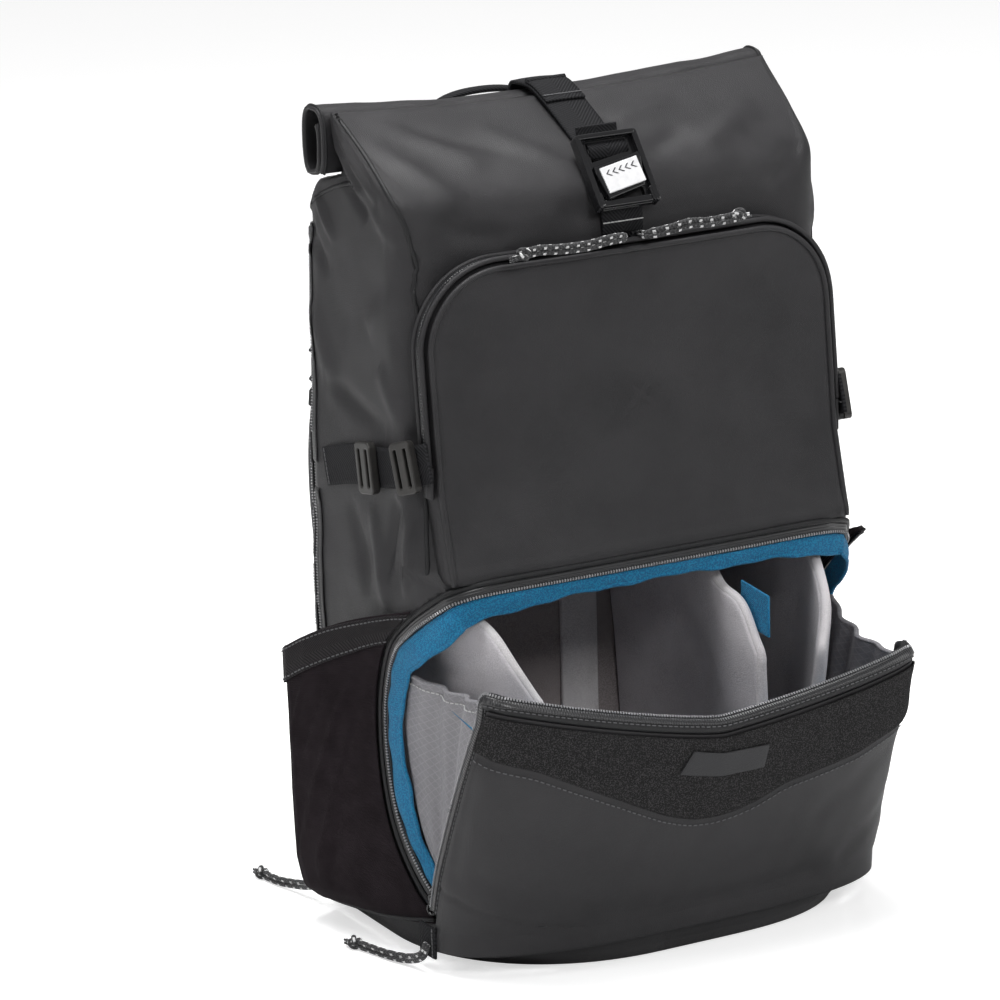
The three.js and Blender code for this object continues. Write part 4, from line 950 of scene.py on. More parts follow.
def make_body():
    piece = grid_piece("body_cloth", body_surface(), closed=True)
    for _ in range(2):
        piece.data.materials.append(None)
    add_hubs(piece)
    cut_away(piece, [
        cutter("opening_cutter", opening_outline(), -HALF_WIDTH * 1.3, HALF_WIDTH * 1.3),
        cutter("slot_cutter", slot_outline(), -HALF_WIDTH * 1.15, -HALF_WIDTH * 0.85),
    ])
    return thicken(piece, 2.2, even=False)


# Repeats a small item along a line, its top turned away from the surface
def repeat_tool():
    tree = bpy.data.node_groups.new("repeat along a line", "GeometryNodeTree")
    for label, kind in (
        ("Line", "NodeSocketGeometry"), ("Item", "NodeSocketObject"), ("Pitch", "NodeSocketFloat"),
        ("Unevenness", "NodeSocketFloat"), ("Material", "NodeSocketMaterial"),
    ):
        tree.interface.new_socket(name=label, in_out="INPUT", socket_type=kind)
    tree.interface.new_socket(name="Pieces", in_out="OUTPUT", socket_type="NodeSocketGeometry")
    start = tree.nodes.new("NodeGroupInput").outputs
    end = tree.nodes.new("NodeGroupOutput").inputs
    curve = add_node(tree, "GeometryNodeMeshToCurve", {"Mesh": start["Line"]})
    spaced = add_node(tree, "GeometryNodeResampleCurve", {
        "Curve": curve.outputs["Curve"], "Length": start["Pitch"],
    }, mode="LENGTH")
    away = add_node(tree, "GeometryNodeInputNamedAttribute", {"Name": "away"}, data_type="FLOAT_VECTOR")
    tangent = tree.nodes.new("GeometryNodeInputTangent")
    turn = add_node(tree, "FunctionNodeAxesToRotation", {
        "Primary Axis": away.outputs["Attribute"], "Secondary Axis": tangent.outputs["Tangent"],
    }, primary_axis="Z", secondary_axis="X")
    low = maths(tree, "SUBTRACT", 1.0, start["Unevenness"])
    high = maths(tree, "ADD", 1.0, start["Unevenness"])
    size = add_node(tree, "FunctionNodeRandomValue", data_type="FLOAT")
    tree.links.new(low, size.inputs[2])
    tree.links.new(high, size.inputs[3])
    size.inputs["Seed"].default_value = 7
    item = add_node(tree, "GeometryNodeObjectInfo", {"Object": start["Item"]})
    copies = add_node(tree, "GeometryNodeInstanceOnPoints", {
        "Points": spaced.outputs["Curve"], "Instance": item.outputs["Geometry"],
        "Rotation": turn.outputs["Rotation"], "Scale": size.outputs[1],
    })
    real = add_node(tree, "GeometryNodeRealizeInstances", {"Geometry": copies.outputs["Instances"]})
    coated = add_node(tree, "GeometryNodeSetMaterial", {
        "Geometry": real.outputs["Geometry"], "Material": start["Material"],
    })
    tree.links.new(coated.outputs["Geometry"], end["Pieces"])
    return tree


REPEAT = repeat_tool()


def small_block(name, long, wide, tall, round_share=0.3):
    mesh = bmesh.new()
    bmesh.ops.create_cube(mesh, size=1.0)
    bmesh.ops.scale(mesh, vec=(long * MM, wide * MM, tall * MM), verts=mesh.verts)
    bmesh.ops.bevel(
        mesh, geom=mesh.edges[:], offset=min(long, wide, tall) * round_share * MM, segments=1, affect="EDGES",
    )
    made = bpy.data.meshes.new(name)
    mesh.to_mesh(made)
    mesh.free()
    return add_object(name, made)


def repeat_along(name, line, away, pitch, material, size, jitter=0.06):
    mesh = bpy.data.meshes.new(name)
    mesh.from_pydata((line * MM).tolist(), [(k, k + 1) for k in range(len(line) - 1)], [])
    stored = mesh.attributes.new("away", "FLOAT_VECTOR", "POINT")
    stored.data.foreach_set("vector", np.asarray(away, float).reshape(-1))
    piece = add_object(name, mesh)
    item = small_block(name + "_item", *size)
    tool = piece.modifiers.new("repeat", "NODES")
    tool.node_group = REPEAT
    sockets = {entry.name: entry.identifier for entry in REPEAT.interface.items_tree if entry.in_out == "INPUT"}
    tool[sockets["Item"]] = item
    tool[sockets["Pitch"]] = pitch * MM
    tool[sockets["Unevenness"]] = jitter
    tool[sockets["Material"]] = material
    bake(piece)
    bpy.data.objects.remove(item)
    return coat(piece, material)


def stitches(name, line, away, pitch=3.4, material=THREAD):
    return repeat_along(name, line + away * 0.15, away, pitch, material, (2.2, 0.7, 0.5))


# Flat part with round edges, drawn in its own plane and then set down on three axes
def moulded(name, outlines, thickness, edge, seat, axes):
    drawing = bpy.data.curves.new(name, "CURVE")
    drawing.dimensions = "2D"
    drawing.fill_mode = "BOTH"
    drawing.extrude = (thickness / 2 - edge) * MM
    drawing.bevel_depth = edge * MM
    drawing.bevel_resolution = 2
    drawing.offset = -edge * MM
    for outline in outlines:
        spline = drawing.splines.new("POLY")
        spline.points.add(len(outline) - 1)
        for point, (x, y) in zip(spline.points, outline):
            point.co = (x * MM, y * MM, 0.0, 1.0)
        spline.use_cyclic_u = True
    piece = add_object(name, drawing)
    graph = bpy.context.evaluated_depsgraph_get()
    mesh = bpy.data.meshes.new_from_object(piece.evaluated_get(graph))
    bpy.data.objects.remove(piece)
    turn = Matrix(np.array(axes, float).T.tolist())
    place = turn.to_4x4()
    place.translation = Vector(seat) * MM
    mesh.transform(place)
    made = add_object(name, mesh)
    mesh.polygons.foreach_set("use_smooth", [False] * len(mesh.polygons))
    weld(made)
    return made


def weld(piece, distance=0.02):
    mesh = bmesh.new()
    mesh.from_mesh(piece.data)
    bmesh.ops.remove_doubles(mesh, verts=mesh.verts, dist=distance * MM)
    bmesh.ops.recalc_face_normals(mesh, faces=mesh.faces)
    mesh.to_mesh(piece.data)
    mesh.free()
    return piece


# Rectangle with round corners, anticlockwise
def round_box(low_x, low_y, high_x, high_y, radius, steps=4):
    outline = []
    for x, y, first in (
        (high_x - radius, high_y - radius, 0), (low_x + radius, high_y - radius, 90),
        (low_x + radius, low_y + radius, 180), (high_x - radius, low_y + radius, 270),
    ):
        for k in range(steps + 1):
            angle = math.radians(first + 90 * k / steps)
            outline.append((x + radius * math.cos(angle), y + radius * math.sin(angle)))
    return outline


# Closed solid through a row of closed rings, given as an array of levels by points
def loft(name, rings):
    piece = grid_piece(name, np.swapaxes(np.asarray(rings), 0, 1), closed=True)
    close_ends(piece)
    return weld(piece, 0.001)


def shift(grid, distance, closed=False):
    return grid + grid_normals(grid, closed) * np.asarray(distance)[..., None]


def mirror(grid):
    return grid[::-1] * (-1, 1, 1)


# Zip line round the compartment
def outward_from(path):
    result = []
    for x, y, z in path:
        s = section(z)
        flat = s["half"] * (1 - s["corner"])
        dx = max(0, abs(x) - flat) * np.sign(x)
        dy = min(0, y - s["start"])
        result.append((dx / (s["corner"] * s["half"]) ** 2, dy / (s["front"] - s["start"]) ** 2, 0))
    return unit(np.array(result))


def make_zip_path(count):
    flat = zip_side(36)
    left = [(-side_at(y, z, "left"), y, z) for _, y, z in flat]
    right = [(side_at(y, z, "right"), y, z) for _, y, z in flat][::-1]
    s = section(ARCH_HEIGHT)
    half = s["half"] * (1 - s["corner"])
    top = [(half * share, s["front"], ARCH_HEIGHT) for share in (-0.96, -0.5, 0, 0.5, 0.96)]
    return smooth_line(left + top + right, count)


zip_path = make_zip_path(300)
zip_out = outward_from(zip_path)
zip_into = unit(np.cross(unit(np.gradient(zip_path, axis=0)), zip_out))


def make_compartment_zip():
    share = np.linspace(1, -1, 7)[None, :, None]
    grid = zip_path[:, None] + zip_into[:, None] * share * ZIP_WIDTH / 2
    grid = grid + zip_out[:, None] * 0.5 * (1 - share ** 2)
    tape = coat(thicken(grid_piece("zip_tape_run", grid), ZIP_THICK), ZIP_TAPE)
    edge = zip_path + zip_into * (ZIP_WIDTH / 2 - 1.2) + zip_out * 0.9
    row = repeat_along("zip_teeth_run", edge, zip_out, 1.7, TEETH, (0.95, 1.8, 1.1))
    coil = coat(tube("zip_coil_run", edge - zip_out * 0.3, 0.7, sides=8), COIL_TAPE)
    welt = zip_path - zip_into * (ZIP_WIDTH / 2 + 0.6) + zip_out * 0.4
    roll = coat(tube("zip_welt", welt, 1.3, 1.6, out=zip_out, sides=10), HEM)
    return fit(join("compartment_zip_run", [tape, row, coil, roll]), "compartment_zip")


LINING_PLAN = rows(("share", "width"), [
    (0.00, 0.20), (0.12, 0.95), (0.30, 0.95), (0.37, 0.60), (0.44, 0.42), (0.52, 0.38), (0.60, 0.48),
    (0.66, 0.66), (0.78, 0.80), (0.90, 0.80), (1.00, 0.20),
])


def lining_width(share):
    return LINING_WIDTH * smooth_column(LINING_PLAN, "share", "width", share, 0.02)


def make_lining_band():
    share = np.linspace(0, 1, len(zip_path))
    wide = lining_width(share) + 0.6 * np.sin(share * 70) + 0.4 * np.sin(share * 173)
    near = ZIP_WIDTH / 2 + CLEAR
    t = np.linspace(1, 0, 9)[None, :, None]
    grid = zip_path[:, None] + zip_into[:, None] * (near + wide[:, None, None] * t)
    puff = 0.8 * np.sin(np.pi * t[..., 0]) * np.ones((len(zip_path), 1))
    grid = grid + zip_out[:, None] * (puff + unevenness(grid, 26, 0.6, 21))[..., None]
    band = coat(thicken(grid_piece("blue_band", grid), 1.2), BLUE)
    inner = grid[:, 0]
    roll = coat(tube("blue_band_fold", inner - zip_out * 0.4, 1.1, 1.5, out=zip_out, sides=8), BLUE)
    return fit(join("blue_lining_band", [band, roll]), "lining_band")


# Body cloth, with its folds calmed beside the zip
def near_zip(points):
    flat = points.reshape(-1, 3)
    nearest = np.full(len(flat), 1e9)
    for point in zip_path[::6]:
        nearest = np.minimum(nearest, np.linalg.norm(flat - point, axis=1))
    return np.clip(nearest / 16, 0.08, 1).reshape(points.shape[:-1])


# Flap
FLAP = rows(("up", "width", "lean", "edge", "power"), [
    (0.00, 1.000, 0.00, 0.625, 0.90),
    (0.25, 1.010, 0.28, 0.720, 0.88),
    (0.50, 1.010, 0.55, 0.850, 0.86),
    (0.75, 1.005, 0.80, 0.985, 0.90),
    (1.00, 0.975, 1.00, 1.100, 1.00),
])
RIGHT_CORNER = 0.16


def rim_height(share):
    side = np.where(share < 0, RIM_LEFT, RIM_RIGHT)
    return RIM_CENTRE + (side - RIM_CENTRE) * np.abs(share) ** 1.2


def flap_surface(across, up):
    across, up = np.broadcast_arrays(np.asarray(across, float), np.asarray(up, float))

    def value(name):
        return np.mean([column(FLAP, "up", name, up + k * 0.05) for k in (-1, 0, 1)], axis=0)

    angle = (across + 1) * np.pi / 2
    power = value("power") - np.where(across > 0, RIGHT_CORNER, 0) * (1 - up)
    half = HALF_WIDTH * value("width")
    edge = -FRONT_REACH * value("edge")
    front = -FRONT_REACH - FLAP_LEAN * value("lean")
    x = -np.sign(np.cos(angle)) * np.abs(np.cos(angle)) ** power * half
    y = edge + (front - edge) * np.clip(np.sin(angle), 0, 1) ** power
    foot = TRAY_HEIGHT + CLEAR
    return np.stack([x, y, foot + (rim_height(x / half) - foot) * up], -1)


# Dents and ridges of the padded flap, between places given across and up
FLAP_FOLDS = rows(("a1", "u1", "a2", "u2", "width", "depth"), [
    (-0.72, 0.30, -0.40, 0.12, 6, -1.0),
    (-0.30, 0.10, 0.30, 0.08, 7, -0.8),
    (0.45, 0.12, 0.75, 0.34, 7, -1.0),
    (0.30, 0.42, 0.62, 0.60, 9, -0.9),
    (-0.60, 0.55, -0.35, 0.44, 9, -0.8),
    (0.86, 0.70, 0.80, 0.25, 5, -1.4),
    (-0.93, 0.80, -0.90, 0.30, 5, -1.2),
])


def flap_push(points):
    total = unevenness(points, 80, 0.8, 12) + unevenness(points, 30, 0.25, 13)
    for fold in FLAP_FOLDS:
        a = flap_surface(fold["a1"], fold["u1"])
        b = flap_surface(fold["a2"], fold["u2"])
        run = b - a
        share = np.clip(((points - a) @ run) / (run @ run), 0, 1)
        gap = np.linalg.norm(points - a - share[..., None] * run, axis=-1)
        total = total + fold["depth"] * np.exp(-(gap / fold["width"]) ** 2)
    return total


# Flap's outer skin and the direction away from it, lifted by a distance
def flap_skin(across, up, lift=0.0):
    across, up = np.broadcast_arrays(np.asarray(across, float), np.asarray(up, float))
    step = 0.01
    a = np.clip(across, -1 + step, 1 - step)
    u = np.clip(up, step, 1 - step)
    du = flap_surface(a + step, u) - flap_surface(a - step, u)
    dv = flap_surface(a, u + step) - flap_surface(a, u - step)
    out = unit(np.cross(du, dv))
    points = flap_surface(across, up)
    calm = np.clip(np.minimum(up, 1 - up) / 0.08, 0, 1) * np.clip((1 - np.abs(across)) / 0.06, 0, 1)
    push = flap_push(points) * calm + lift
    return points + out * push[..., None], out


YOKE_LINE = rows(("across", "up"), [
    (-1.00, 0.830), (-0.83, 0.815), (-0.55, 0.795), (-0.38, 0.735), (-0.22, 0.660), (-0.07, 0.560),
    (0.00, 0.540), (0.05, 0.565), (0.15, 0.640), (0.37, 0.660), (0.67, 0.700), (1.00, 0.740),
])


def yoke_seam(across):
    return smooth_column(YOKE_LINE, "across", "up", across, 0.04)


# Seam low on the flap, which drops from its left end to its foot
def foot_seam(across):
    return np.interp(across, (-1.0, -0.85, -0.6, -0.4, -0.15), (0.21, 0.2, 0.12, 0.055, -0.02))


def across_steps(count):
    return -np.cos(np.linspace(0, np.pi, count)) * 0.35 + np.linspace(-1, 1, count) * 0.65


def make_flap():
    across = across_steps(190)[:, None]
    up = np.linspace(0, 1, 72)[None]
    grid, _ = flap_skin(across, up)
    seam_dip = np.exp(-(((up - yoke_seam(across) + 0.012) * 140) / 1.6) ** 2)
    foot_dip = np.exp(-(((up - foot_seam(across)) * 140) / 1.3) ** 2) * (foot_seam(across) > 0.02)
    grid = grid - grid_normals(grid) * (0.9 * seam_dip + 1.0 * foot_dip)[..., None]
    panel = coat(soften(thicken(grid_piece("flap_panel", grid), FLAP_WALL, even=False), 2.4, 3, 60), COATED)
    ends = np.linspace(-0.97, 0.97, 260)
    line, out = flap_skin(ends, yoke_seam(ends) - 0.035, 0.1)
    yoke_row = stitches("yoke_stitches", line, out, 3.6)
    low = np.linspace(-0.05, 0.07, 12)[None]
    foot, _ = flap_skin(across, low, 0.9 - 1.5 * np.clip(low / 0.07, 0, 1))
    fold = coat(thicken(grid_piece("flap_foot_fold", foot), 0.9, even=False), COATED)
    flap = join("padded_flap", [panel, yoke_row, fold])
    return fit(flap, "flap")


def make_yoke():
    across = across_steps(190)[:, None]
    share = np.linspace(0, 1, 34)[None]
    up = yoke_seam(across) + (0.985 - yoke_seam(across)) * share
    grid, _ = flap_skin(across, up, 1.6)
    edge = np.clip(share / 0.05, 0, 1) ** 0.5
    grid = grid - grid_normals(grid) * (1.0 * (1 - edge))[..., None]
    yoke = coat(thicken(grid_piece("felt_yoke", grid), 1.0, even=False), FELT)
    return fit(yoke, "flap_yoke")


def flap_edge(distance, count=360):
    up = np.linspace(0.1, 0.93, 40)
    ends = across_steps(120)[5:-5]
    sides = {}
    for across in (-1, 1):
        line, out = flap_skin(across + 0 * up, up, -FLAP_WALL / 2)
        sides[across] = line + (0, distance, distance * 0.3)
    top, _ = flap_skin(ends, 1 + 0 * ends, -FLAP_WALL / 2)
    top = top + (0, 0, distance)
    corner = {}
    for across in (-1, 1):
        point, _ = flap_skin(np.array([across]), np.array([1.0]), -FLAP_WALL / 2)
        corner[across] = point + (0, distance * 1.1, distance * 1.3)
    line = np.vstack([sides[-1], corner[-1], top, corner[1], sides[1][::-1]])
    return smooth_line(resample(line, 90), count)


def make_flap_rim():
    line = flap_edge(2.5 + CLEAR * 5)
    middle = np.array((0.0, -118.0, 80.0))
    away = unit(line - middle)
    along, out, side = line_frames(line, away)
    piping = coat(tube("rim_piping", line, 4.0, 5.0, out=out, sides=18), HEM)
    face = line + out * 3.9
    front = np.where(side @ np.array((0.0, -1.0, 0.0)) > 0, 1, -1)[:, None] * side
    tape = coat(ribbon("rim_tape", face + front * 0.4, out, 4.6, 0.8, dome=0.4), ZIP_TAPE)
    teeth = repeat_along("rim_teeth", face - front * 3.0 - out * 0.1, out, 1.7, TEETH, (0.95, 1.7, 1.0))
    seam = stitches("rim_stitches", face + front * 3.4 - out * 1.1, out, 3.4)
    return fit(join("flap_rim_run", [piping, tape, teeth, seam]), "flap_rim")


def make_flap_lining():
    ends = across_steps(150)[6:-6][:, None]
    up = np.linspace(0.8, 1.0, 14)[None]
    grid, _ = flap_skin(ends, up, -FLAP_WALL - CLEAR * 3)
    grid = grid + (0, 0, 1) * (0.8 * np.sin(ends * 40) * (up > 0.97))[..., None]
    lining = coat(thicken(grid_piece("flap_blue_edge", grid), 1.2), BLUE)
    return fit(lining, "flap_lining")


def make_badge():
    across = np.linspace(-0.108, 0.1, 26)[:, None]
    rise = np.linspace(0, 0.118, 12)[None]
    grid, _ = flap_skin(across + rise * 0.2, 0.79 - across * 0.17 + rise, 2.7)
    patch = coat(soften(thicken(grid_piece("plain_patch", grid), 0.8), 0.3), PATCH)
    return fit(patch, "badge")


# Fan of thin cloth between the blue band and the flap
def make_gusset(name, side):
    count = 60
    steps = 240
    line = zip_side(steps)
    last = int(np.argmax(line[:, 2] > ARCH_HEIGHT * 0.8))
    grid = np.zeros((count + 1, count + 1, 3))
    share = np.linspace(0, 1, count + 1)
    for j in range(count + 1):
        up = j / count
        k = int(round(18 + (last - 18) * up))
        wide = float(lining_width(np.array(k / steps * 0.36)))
        gap = ZIP_WIDTH / 2 + wide + CLEAR * 3
        start = zip_side(steps, -gap)[k]
        start[0] = side * (side_at(start[1], start[2], name) - ZIP_THICK)
        target, _ = flap_skin(np.array([side]), np.array([0.12 + 0.88 * up]))
        target = target[0]
        end = np.array((side * (abs(target[0]) - FLAP_WALL / 2), target[1] + 5 + CLEAR * 18, target[2]))
        start[1] = max(start[1], line[k][1] * 0.3 + end[1] * 0.7)
        points = start + share[:, None] * (end - start)
        sag = np.sin(np.pi * share) * np.sin(np.pi * min(1, up + 0.12) * 0.8)
        points[:, 0] -= side * 9 * sag
        points[:, 2] -= 5 * sag * up
        pleat = np.sin(share * 2 * np.pi * 3.2 + up * 2.2) * np.sin(np.pi * share) * (0.3 + up)
        points[:, 0] -= side * 1.8 * pleat
        grid[:, j] = points
    if side > 0:
        grid = grid[::-1]
    cloth = coat(thicken(grid_piece(f"{name}_gusset_cloth", grid), 0.9), RIPSTOP)
    top = grid[:, -1]
    out = grid_normals(grid)[:, -1]
    hem = coat(tube(f"{name}_gusset_hem", top, 1.5, 1.1, sides=8), RIPSTOP)
    row = stitches(f"{name}_gusset_stitches", grid[:, -4] + out * 0.3, out, 3.0, PALE_THREAD)
    whole = join(f"{name}_gusset_fan", [cloth, hem, row])
    fit(whole, f"gusset_{name}")
    return whole


body = make_body()
body_tree = BVHTree.FromPolygons(
    [vertex.co / MM for vertex in body.data.vertices], [tuple(face.vertices) for face in body.data.polygons],
)


# Lays a line on the body's cloth, lifted off it, and gives the direction away from it
def laid_on_body(line, lift=0.0):
    places = []
    outs = []
    for point in line:
        hit, normal, _, _ = body_tree.find_nearest(Vector(point))
        normal = np.array(normal)
        centre = np.array((0.0, 0.0, point[2]))
        if np.dot(normal, np.asarray(point) - centre) < 0:
            normal = -normal
        places.append(np.array(hit) + normal * lift)
        outs.append(normal)
    return np.array(places), np.array(outs)


# Camera compartment
def ring_at(z, inset, back_limit, level=None):
    s = section(z)
    half = s["half"] - inset
    front = s["front"] + inset
    start = max(s["start"], front + 1.5)
    back = min(s["back"] - inset, back_limit)
    rear = 8.0
    turn = np.linspace(0, np.pi / 2, 7)
    right_rear = np.stack([half - rear + rear * np.cos(turn), back - rear + rear * np.sin(turn)], 1)
    left_rear = right_rear[::-1] * (-1, 1)
    wide = s["corner"] * half
    turn = np.linspace(0, np.pi / 2, 17)
    corners = {}
    for side, power in CORNER_POWER.items():
        p = 1 + (power - 1) * min(max(s["corner"] * 2 - 0.6, 0), 1)
        x = half - wide + wide * np.cos(turn) ** p
        corners[side] = np.stack([x, start + (front - start) * np.sin(turn) ** p], 1)
    runs = [
        (np.vstack([right_rear, left_rear]), 60),
        (np.vstack([left_rear[-1:], corners["left"] * (-1, 1)]), 40),
        (np.vstack([corners["left"][-1:] * (-1, 1), corners["right"][-1:]]), 30),
        (np.vstack([corners["right"][::-1], right_rear[:1]]), 40),
    ]
    ring = np.vstack([resample(run, count + 1)[:-1] for run, count in runs])
    return np.column_stack([ring, np.full(len(ring), z if level is None else level)])


def make_insert():
    inset = 3 + CLEAR
    top = ARCH_HEIGHT - ZIP_WIDTH - CLEAR
    deep = inset + INSERT_WALL
    back = LINER_BACK - INSERT_WALL
    outer = loft("insert_outer", [ring_at(z, inset, LINER_BACK) for z in np.linspace(inset, top, 44)])
    rings = [ring_at(z, deep, back) for z in np.linspace(deep, top - INSERT_WALL / 2, 60)]
    rings = np.array(rings)
    wall = (rings[..., 1] > back - 0.5)[..., None]
    quilt = np.sin(rings[..., 0] / 36) * 0.5 + unevenness(rings, 50, 0.9, 31)
    calm = np.clip((rings[..., 2] - deep) / 12, 0, 1) * np.clip((top - 3 - rings[..., 2]) / 10, 0, 1)
    rings = rings - (0, 1, 0) * wall * (quilt * calm)[..., None]
    inner = loft("insert_inner", rings)
    for tool in (outer, inner):
        for material in (DARK_LINING_AND_SHADE, TRICOT, BACK_TRICOT):
            tool.data.materials.append(material)
    # Rear faces right of the centre divider take the near-black colour, painted shade at the back of the deep right
    # cell; other rear faces take the mauve-grey tricot and the rest the pale tricot
    for face in inner.data.polygons:
        rear = face.center.y > (back - 3) * MM
        face.material_index = (0 if face.center.x > HALF_WIDTH * 0.36 * MM else 2) if rear else 1
    block = cutter("insert_cutter", insert_cut_outline(), -HALF_WIDTH * 1.3, HALF_WIDTH * 1.3)
    block.data.materials.clear()
    for material in (DARK_LINING_AND_SHADE, TRICOT):
        block.data.materials.append(material)
    for tool in (inner, block):
        cut = outer.modifiers.new("cut", "BOOLEAN")
        cut.operation = "DIFFERENCE"
        cut.solver = "MANIFOLD"
        cut.object = tool
        bake(outer)
        bpy.data.objects.remove(tool)
    outer.data.set_sharp_from_angle(angle=math.radians(40))
    return fit(outer, "camera_insert")


def insert_cut_outline():
    edge = zip_side(40, ZIP_WIDTH / 2 + CLEAR)
    low = 3 + CLEAR + INSERT_WALL
    far = -FRONT_REACH * 2
    top = ARCH_HEIGHT + ZIP_WIDTH / 2 + CLEAR
    middle = [(p[1], p[2]) for p in edge]
    return [(far, low), (edge[0][1], low), *middle, (edge[-1][1] - 8, top), (far, top)]


FLOOR_TOP = 3 + INSERT_WALL + CLEAR * 4
SIDE_DIVIDER = [
    (0.865, -0.235, -0.235, 0.93), (0.860, 0.080, 0.080, 0.93), (0.850, 0.300, 0.320, 0.93),
    (0.835, 0.460, 0.540, 0.935), (0.785, 0.560, 0.720, 0.90), (0.745, 0.640, 0.850, 0.82),
    (0.670, 0.690, 0.940, 0.72),
]
MIDDLE_DIVIDER = [
    (0.315, -0.225, -0.225, 0.92), (0.330, 0.020, 0.020, 0.93), (0.350, 0.240, 0.240, 0.945),
    (0.335, 0.440, 0.480, 0.950), (0.315, 0.600, 0.680, 0.895), (0.330, 0.730, 0.830, 0.860),
    (0.360, 0.860, 0.930, 0.740),
]
DIVIDER_THICK = 7.0


def divider_grid(plan, side, sway=0.0):
    lines = smooth_line(plan, 60)
    up = np.linspace(0, 1, 30)
    grid = np.zeros((len(lines), len(up), 3))
    for i, (x, low, high, top) in enumerate(lines):
        grid[i, :, 0] = side * HALF_WIDTH * (x + sway * np.sin(up * 5))
        grid[i, :, 1] = -FRONT_REACH * (low + (high - low) * up)
        grid[i, :, 2] = FLOOR_TOP + (ARCH_HEIGHT * top - FLOOR_TOP) * up
    return grid


def make_divider(name, plan, side, sway, seed):
    grid = divider_grid(plan, side, sway)
    if side > 0 and sway == 0:
        grid = grid[::-1]
    grid = grid + grid_normals(grid) * unevenness(grid, 46, 0.5, seed)[..., None]
    panel = coat(soften(thicken(grid_piece(name + "_panel", grid), DIVIDER_THICK, even=False), 2.0, 2, 50), TRICOT)
    normals = grid_normals(grid)
    middle = grid - normals * DIVIDER_THICK / 2
    front = middle[-1] if not (side > 0 and sway == 0) else middle[0]
    top = middle[:, -1] if not (side > 0 and sway == 0) else middle[::-1, -1]
    edge = smooth_line(resample(np.vstack([front[2:-1], top[::-1][0:-2]]), 70), 200)
    edge = edge - (0, 0, 1.0)
    pale = BINDING if side < 0 else DIVIDER_EDGE
    half = 2.6 if side < 0 else 3.7 + 0.9 * np.sin(np.linspace(0, 9, 200))
    binding = coat(tube(name + "_binding", edge, half, half, sides=14), pale)
    return join(name, [panel, binding])


def make_dividers():
    for name, side, seed in (("left", -1, 41), ("right", 1, 42)):
        fit(make_divider(f"{name}_divider_pad", SIDE_DIVIDER, side, 0.0, seed), f"divider_{name}")
    fit(make_divider("centre_divider_pad", MIDDLE_DIVIDER, 1, 0.02, 43), "divider_centre")


def make_divider_fold():
    x = HALF_WIDTH * 0.285
    y = LINER_BACK - INSERT_WALL - CLEAR
    share = np.linspace(1, 0, 16)[:, None]
    up = np.linspace(0, 1, 34)[None]
    low = FLOOR_TOP + 30
    z = low + (ARCH_HEIGHT * 0.9 - low) * up
    grid = np.stack(np.broadcast_arrays(
        x - DIVIDER_THICK - share * 24, y - DIVIDER_THICK * 0.5 - 2.5 * np.sin(np.pi * share) ** 2, z,
    ), -1)
    panel = coat(soften(thicken(grid_piece("folded_divider", grid), 3.5), 1.2), BINDING)
    return fit(panel, "divider_fold")


def make_divider_tab():
    x = HALF_WIDTH * 0.36 + CLEAR * 3
    share = np.linspace(1, 0, 14)[:, None]
    up = np.linspace(0, 1, 12)[None]
    grid = np.stack(np.broadcast_arrays(
        x + 1.5 + 3 * share, -FRONT_REACH * 0.76 - 24 * share, ARCH_HEIGHT * 0.8 + 24 * up - 4 * share,
    ), -1)
    tab = coat(soften(thicken(grid_piece("blue_tab", grid), 1.5), 0.5), BLUE)
    return fit(tab, "divider_tab")


def make_partition():
    levels = np.linspace(0.009, 0.835, 60) * BODY_HEIGHT
    reach = np.array([side_at(0, z) - 3 - CLEAR * 5 for z in levels])
    share = np.linspace(-1, 1, 50)[:, None]
    grid = np.stack(np.broadcast_arrays(
        share * reach[None], SLEEVE_FRONT - 2 - CLEAR + 0 * share, levels[None],
    ), -1)
    sheet = coat(thicken(grid_piece("sleeve_wall", grid), 2.0), DARK_LINING_AND_SHADE)
    return fit(sheet, "laptop_partition")


# Sleeve's zip: tape and teeth in front of its slot, more teeth behind it
def make_laptop_zip():
    levels = np.linspace(TRAY_HEIGHT + 4, BODY_HEIGHT * 0.845, 160)
    share = np.clip((levels - TRAY_HEIGHT - 4) / (SLOT_HEIGHT - TRAY_HEIGHT - 4), 0, 1)
    gap = SLOT_WIDTH / 2 * np.sin(np.pi * (0.06 + 0.88 * share)) ** 0.5 * (share < 1)
    middle = sleeve_line(levels) + SLOT_WIDTH / 2
    parts = []
    for name, sign in (("front", -1), ("rear", 1)):
        spots = [(-side_at(y, z), y, z) for y, z in zip(middle + sign * (gap + 3.0), levels)]
        line, out = laid_on_body(spots, 1.0)
        parts.append(coat(ribbon(f"sleeve_{name}_tape", line, out, 6.0, 1.0, steps=5), COIL_TAPE))
        edge, out = laid_on_body([(-side_at(y, z), y, z) for y, z in zip(middle + sign * (gap + 0.7), levels)], 1.3)
        parts.append(repeat_along(f"sleeve_{name}_teeth", edge, out, 1.7, TEETH, (0.9, 1.6, 1.0)))
    return fit(join("sleeve_zip", parts), "laptop_zip")


